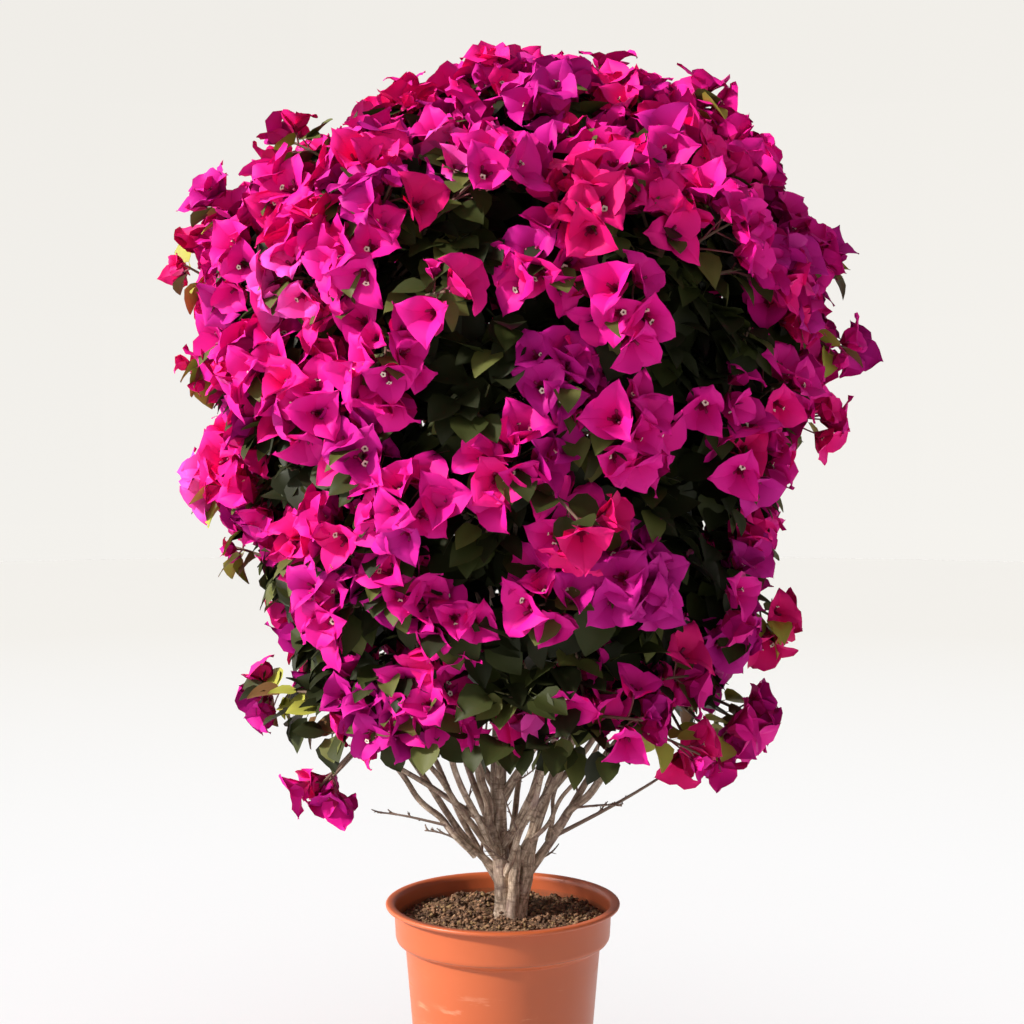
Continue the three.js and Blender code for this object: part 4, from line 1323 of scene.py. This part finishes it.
def bract_faces():
    """A bract's faces, and which have the throat's painted shade: those at its foot, and the midrib's crease
    above them.
    """
    strips = len(HALVES) - 1
    faces = grid_faces(len(BRACT.rows), len(HALVES)).reshape(-1, strips, 4)
    faces = np.delete(faces, HALVES.index(MIDRIB), axis=1)
    in_painted_throat_shade = np.zeros(faces.shape[:2], bool)
    in_painted_throat_shade[: BRACT.painted_throat_rows] = True
    in_painted_throat_shade[: BRACT.painted_midrib_rows, 2:4] = True
    return faces.reshape(-1, 4), in_painted_throat_shade.ravel()


def grow_crown():
    """All twigs, each grown from the mass whose centre is nearest to its end; returns what they bear."""
    crown = Crown()
    ends = make_ends()
    centres = np.array([mass.centre for mass in MASSES])
    nearest = [int(np.argmin(np.linalg.norm(centres - end.point, axis=1))) for end in ends]
    for number, mass in enumerate(MASSES):
        crown.grow(mass, [end for end, owner in zip(ends, nearest) if owner == number])
    return crown.flowers, crown.leaves


def build_crown():
    flowers, leaves = grow_crown()
    rng = np.random.default_rng(SHAPE_SEED)
    bract_pile = Pile("bracts", "blossom", BRACT_TINTS)
    blades, side, up, spin = bract_places(flowers, rng)
    faces, in_painted_throat_shade = bract_faces()
    for i, flower in enumerate(flowers):
        for blade in blades:
            bract_pile.add(blade[i], faces, np.where(in_painted_throat_shade, THROAT_PAINTED_SHADE, flower.tint))
    floret_pile = Pile("florets", "blossom", FLORET_TINTS)
    add_florets(flowers, side, up, spin, floret_pile)
    leaf_pile = Pile("leaves", "leaf", LEAF_TINTS)
    places, faces = leaf_places(leaves, rng)
    for own, leaf in zip(places, leaves):
        leaf_pile.add(own, faces, leaf.tint)
    for pile in (bract_pile, floret_pile, leaf_pile):
        for piece in pile.pieces():
            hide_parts(*FOLIAGE_NODES)


# ---------------------------------------------------------------- camera, light and floor


CAMERA_PLACE = (0.009, -1.7, 0.6664)  # metres
CAMERA_TILT = 87.5  # degrees up from straight down
CAMERA_LENS = 61.4
FLOOR_RADIUS = 8  # metres
FLOOR_FADE = (0.14, 0.55)  # the shares of its radius that its colour turns from near to far between
FLOOR_NEAR = (0.86, 0.855, 0.85)
FLOOR_FAR = (0.80, 0.777, 0.733)
BACKDROP_RADIUS = 12  # metres
BACKDROP_FADE = 3.6  # metres up, over which its colour turns from low to high
BACKDROP_LOW = (0.895, 0.876, 0.836)
BACKDROP_HIGH = (0.865, 0.843, 0.80)
WORLD_COLOUR = (0.97, 0.98, 1, 1)
WORLD_STRENGTH = 0.25


def add_sun(name, azimuth, rise, spread, strength, colour):
    """A lamp that shines evenly from one direction; its `spread` in degrees softens its shadows."""
    lamp = bpy.data.lights.new(name, "SUN")
    lamp.angle, lamp.energy, lamp.color = math.radians(spread), strength, colour
    thing = bpy.data.objects.new(name, lamp)
    bpy.context.scene.collection.objects.link(thing)
    thing.rotation_euler = Vector(aimed(azimuth, rise)).to_track_quat("Z", "Y").to_euler()
    return thing


def lit_only_by(things, lights, others):
    """Keeps `others` off these things, and the plant's shadow out of `lights`, which light nothing else."""
    alone = bpy.data.collections.new("floor_alone")
    rest = bpy.data.collections.new("all_but_floor")
    for thing in things:
        alone.objects.link(thing)
        rest.objects.link(thing)
    for entry in rest.collection_objects:
        entry.light_linking.link_state = "EXCLUDE"
    for light in lights:
        light.light_linking.receiver_collection = alone
        light.light_linking.blocker_collection = alone
    for light in others:
        light.light_linking.receiver_collection = rest


def add_camera(scene):
    camera = bpy.data.objects.new("camera", bpy.data.cameras.new("camera"))
    scene.collection.objects.link(camera)
    camera.data.lens = CAMERA_LENS
    camera.location = CAMERA_PLACE
    camera.rotation_euler = (math.radians(CAMERA_TILT), 0, 0)
    scene.camera = camera


def add_world(scene):
    world = bpy.data.worlds.new("studio")
    world.use_nodes = True
    scene.world = world
    background = world.node_tree.nodes["Background"]
    background.inputs["Color"].default_value = WORLD_COLOUR
    background.inputs["Strength"].default_value = WORLD_STRENGTH


def build_floor():
    bpy.ops.mesh.primitive_circle_add(vertices=96, radius=FLOOR_RADIUS, fill_type="NGON")
    floor = bpy.context.object
    floor.name = "floor"
    shader = Shader("studio_floor", 0.9)
    distance = shader.node("ShaderNodeVectorMath", {"operation": "LENGTH"})
    shader.feed(distance.inputs[0], shader.place())
    share = shader.times(distance.outputs["Value"], MM / FLOOR_RADIUS)
    far = shader.ramp(share, (FLOOR_FADE[0], 0.0), (FLOOR_FADE[1], 1.0))
    shader.set("Base Color", shader.mix(far, FLOOR_NEAR, FLOOR_FAR))
    floor.data.materials.append(shader.material)
    return floor


def build_backdrop():
    """A pale dome that shows to the camera only, so the fill on the plant is the world's alone."""
    bpy.ops.mesh.primitive_uv_sphere_add(segments=48, ring_count=24, radius=BACKDROP_RADIUS)
    backdrop = bpy.context.object
    backdrop.name = "backdrop"
    shader = Shader("studio_backdrop", 1)
    shader.set("Base Color", (0, 0, 0, 1))
    height = shader.node("ShaderNodeSeparateXYZ", Vector=shader.place()).outputs["Z"]
    rise = shader.times(height, MM / BACKDROP_FADE, clamp=True)
    shader.set("Emission Color", shader.mix(rise, BACKDROP_LOW, BACKDROP_HIGH))
    shader.set("Emission Strength", 1.0)
    backdrop.data.materials.append(shader.material)
    backdrop.visible_diffuse = False
    backdrop.visible_glossy = False
    backdrop.visible_transmission = False
    backdrop.visible_shadow = False
    return backdrop


def build_studio():
    """Camera, floor, backdrop, a soft key from the upper left front, a side fill, and a wash on the floor."""
    scene = bpy.context.scene
    scene.view_settings.view_transform = "Standard"
    add_camera(scene)
    key = add_sun("key", azimuth=201, rise=32, spread=5, strength=5.2, colour=(1, 0.965, 0.91))
    side = add_sun("side_fill", azimuth=178, rise=12, spread=110, strength=2.5, colour=(1, 0.98, 0.97))
    wash = add_sun("floor_wash", azimuth=0, rise=90, spread=60, strength=2.86, colour=(1, 1, 1))
    add_world(scene)
    floor, backdrop = build_floor(), build_backdrop()
    lit_only_by([floor], [wash], [key, side])


build_studio()
build_pot()
build_soil_bed()
build_crumbs()
build_limbs()
build_crown()
for piece in BARK.pieces():
    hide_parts(TRUNK.name, *(limb.name for limb in BOUGHS))
for piece in WOOD.pieces():
    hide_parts(*FOLIAGE_NODES)
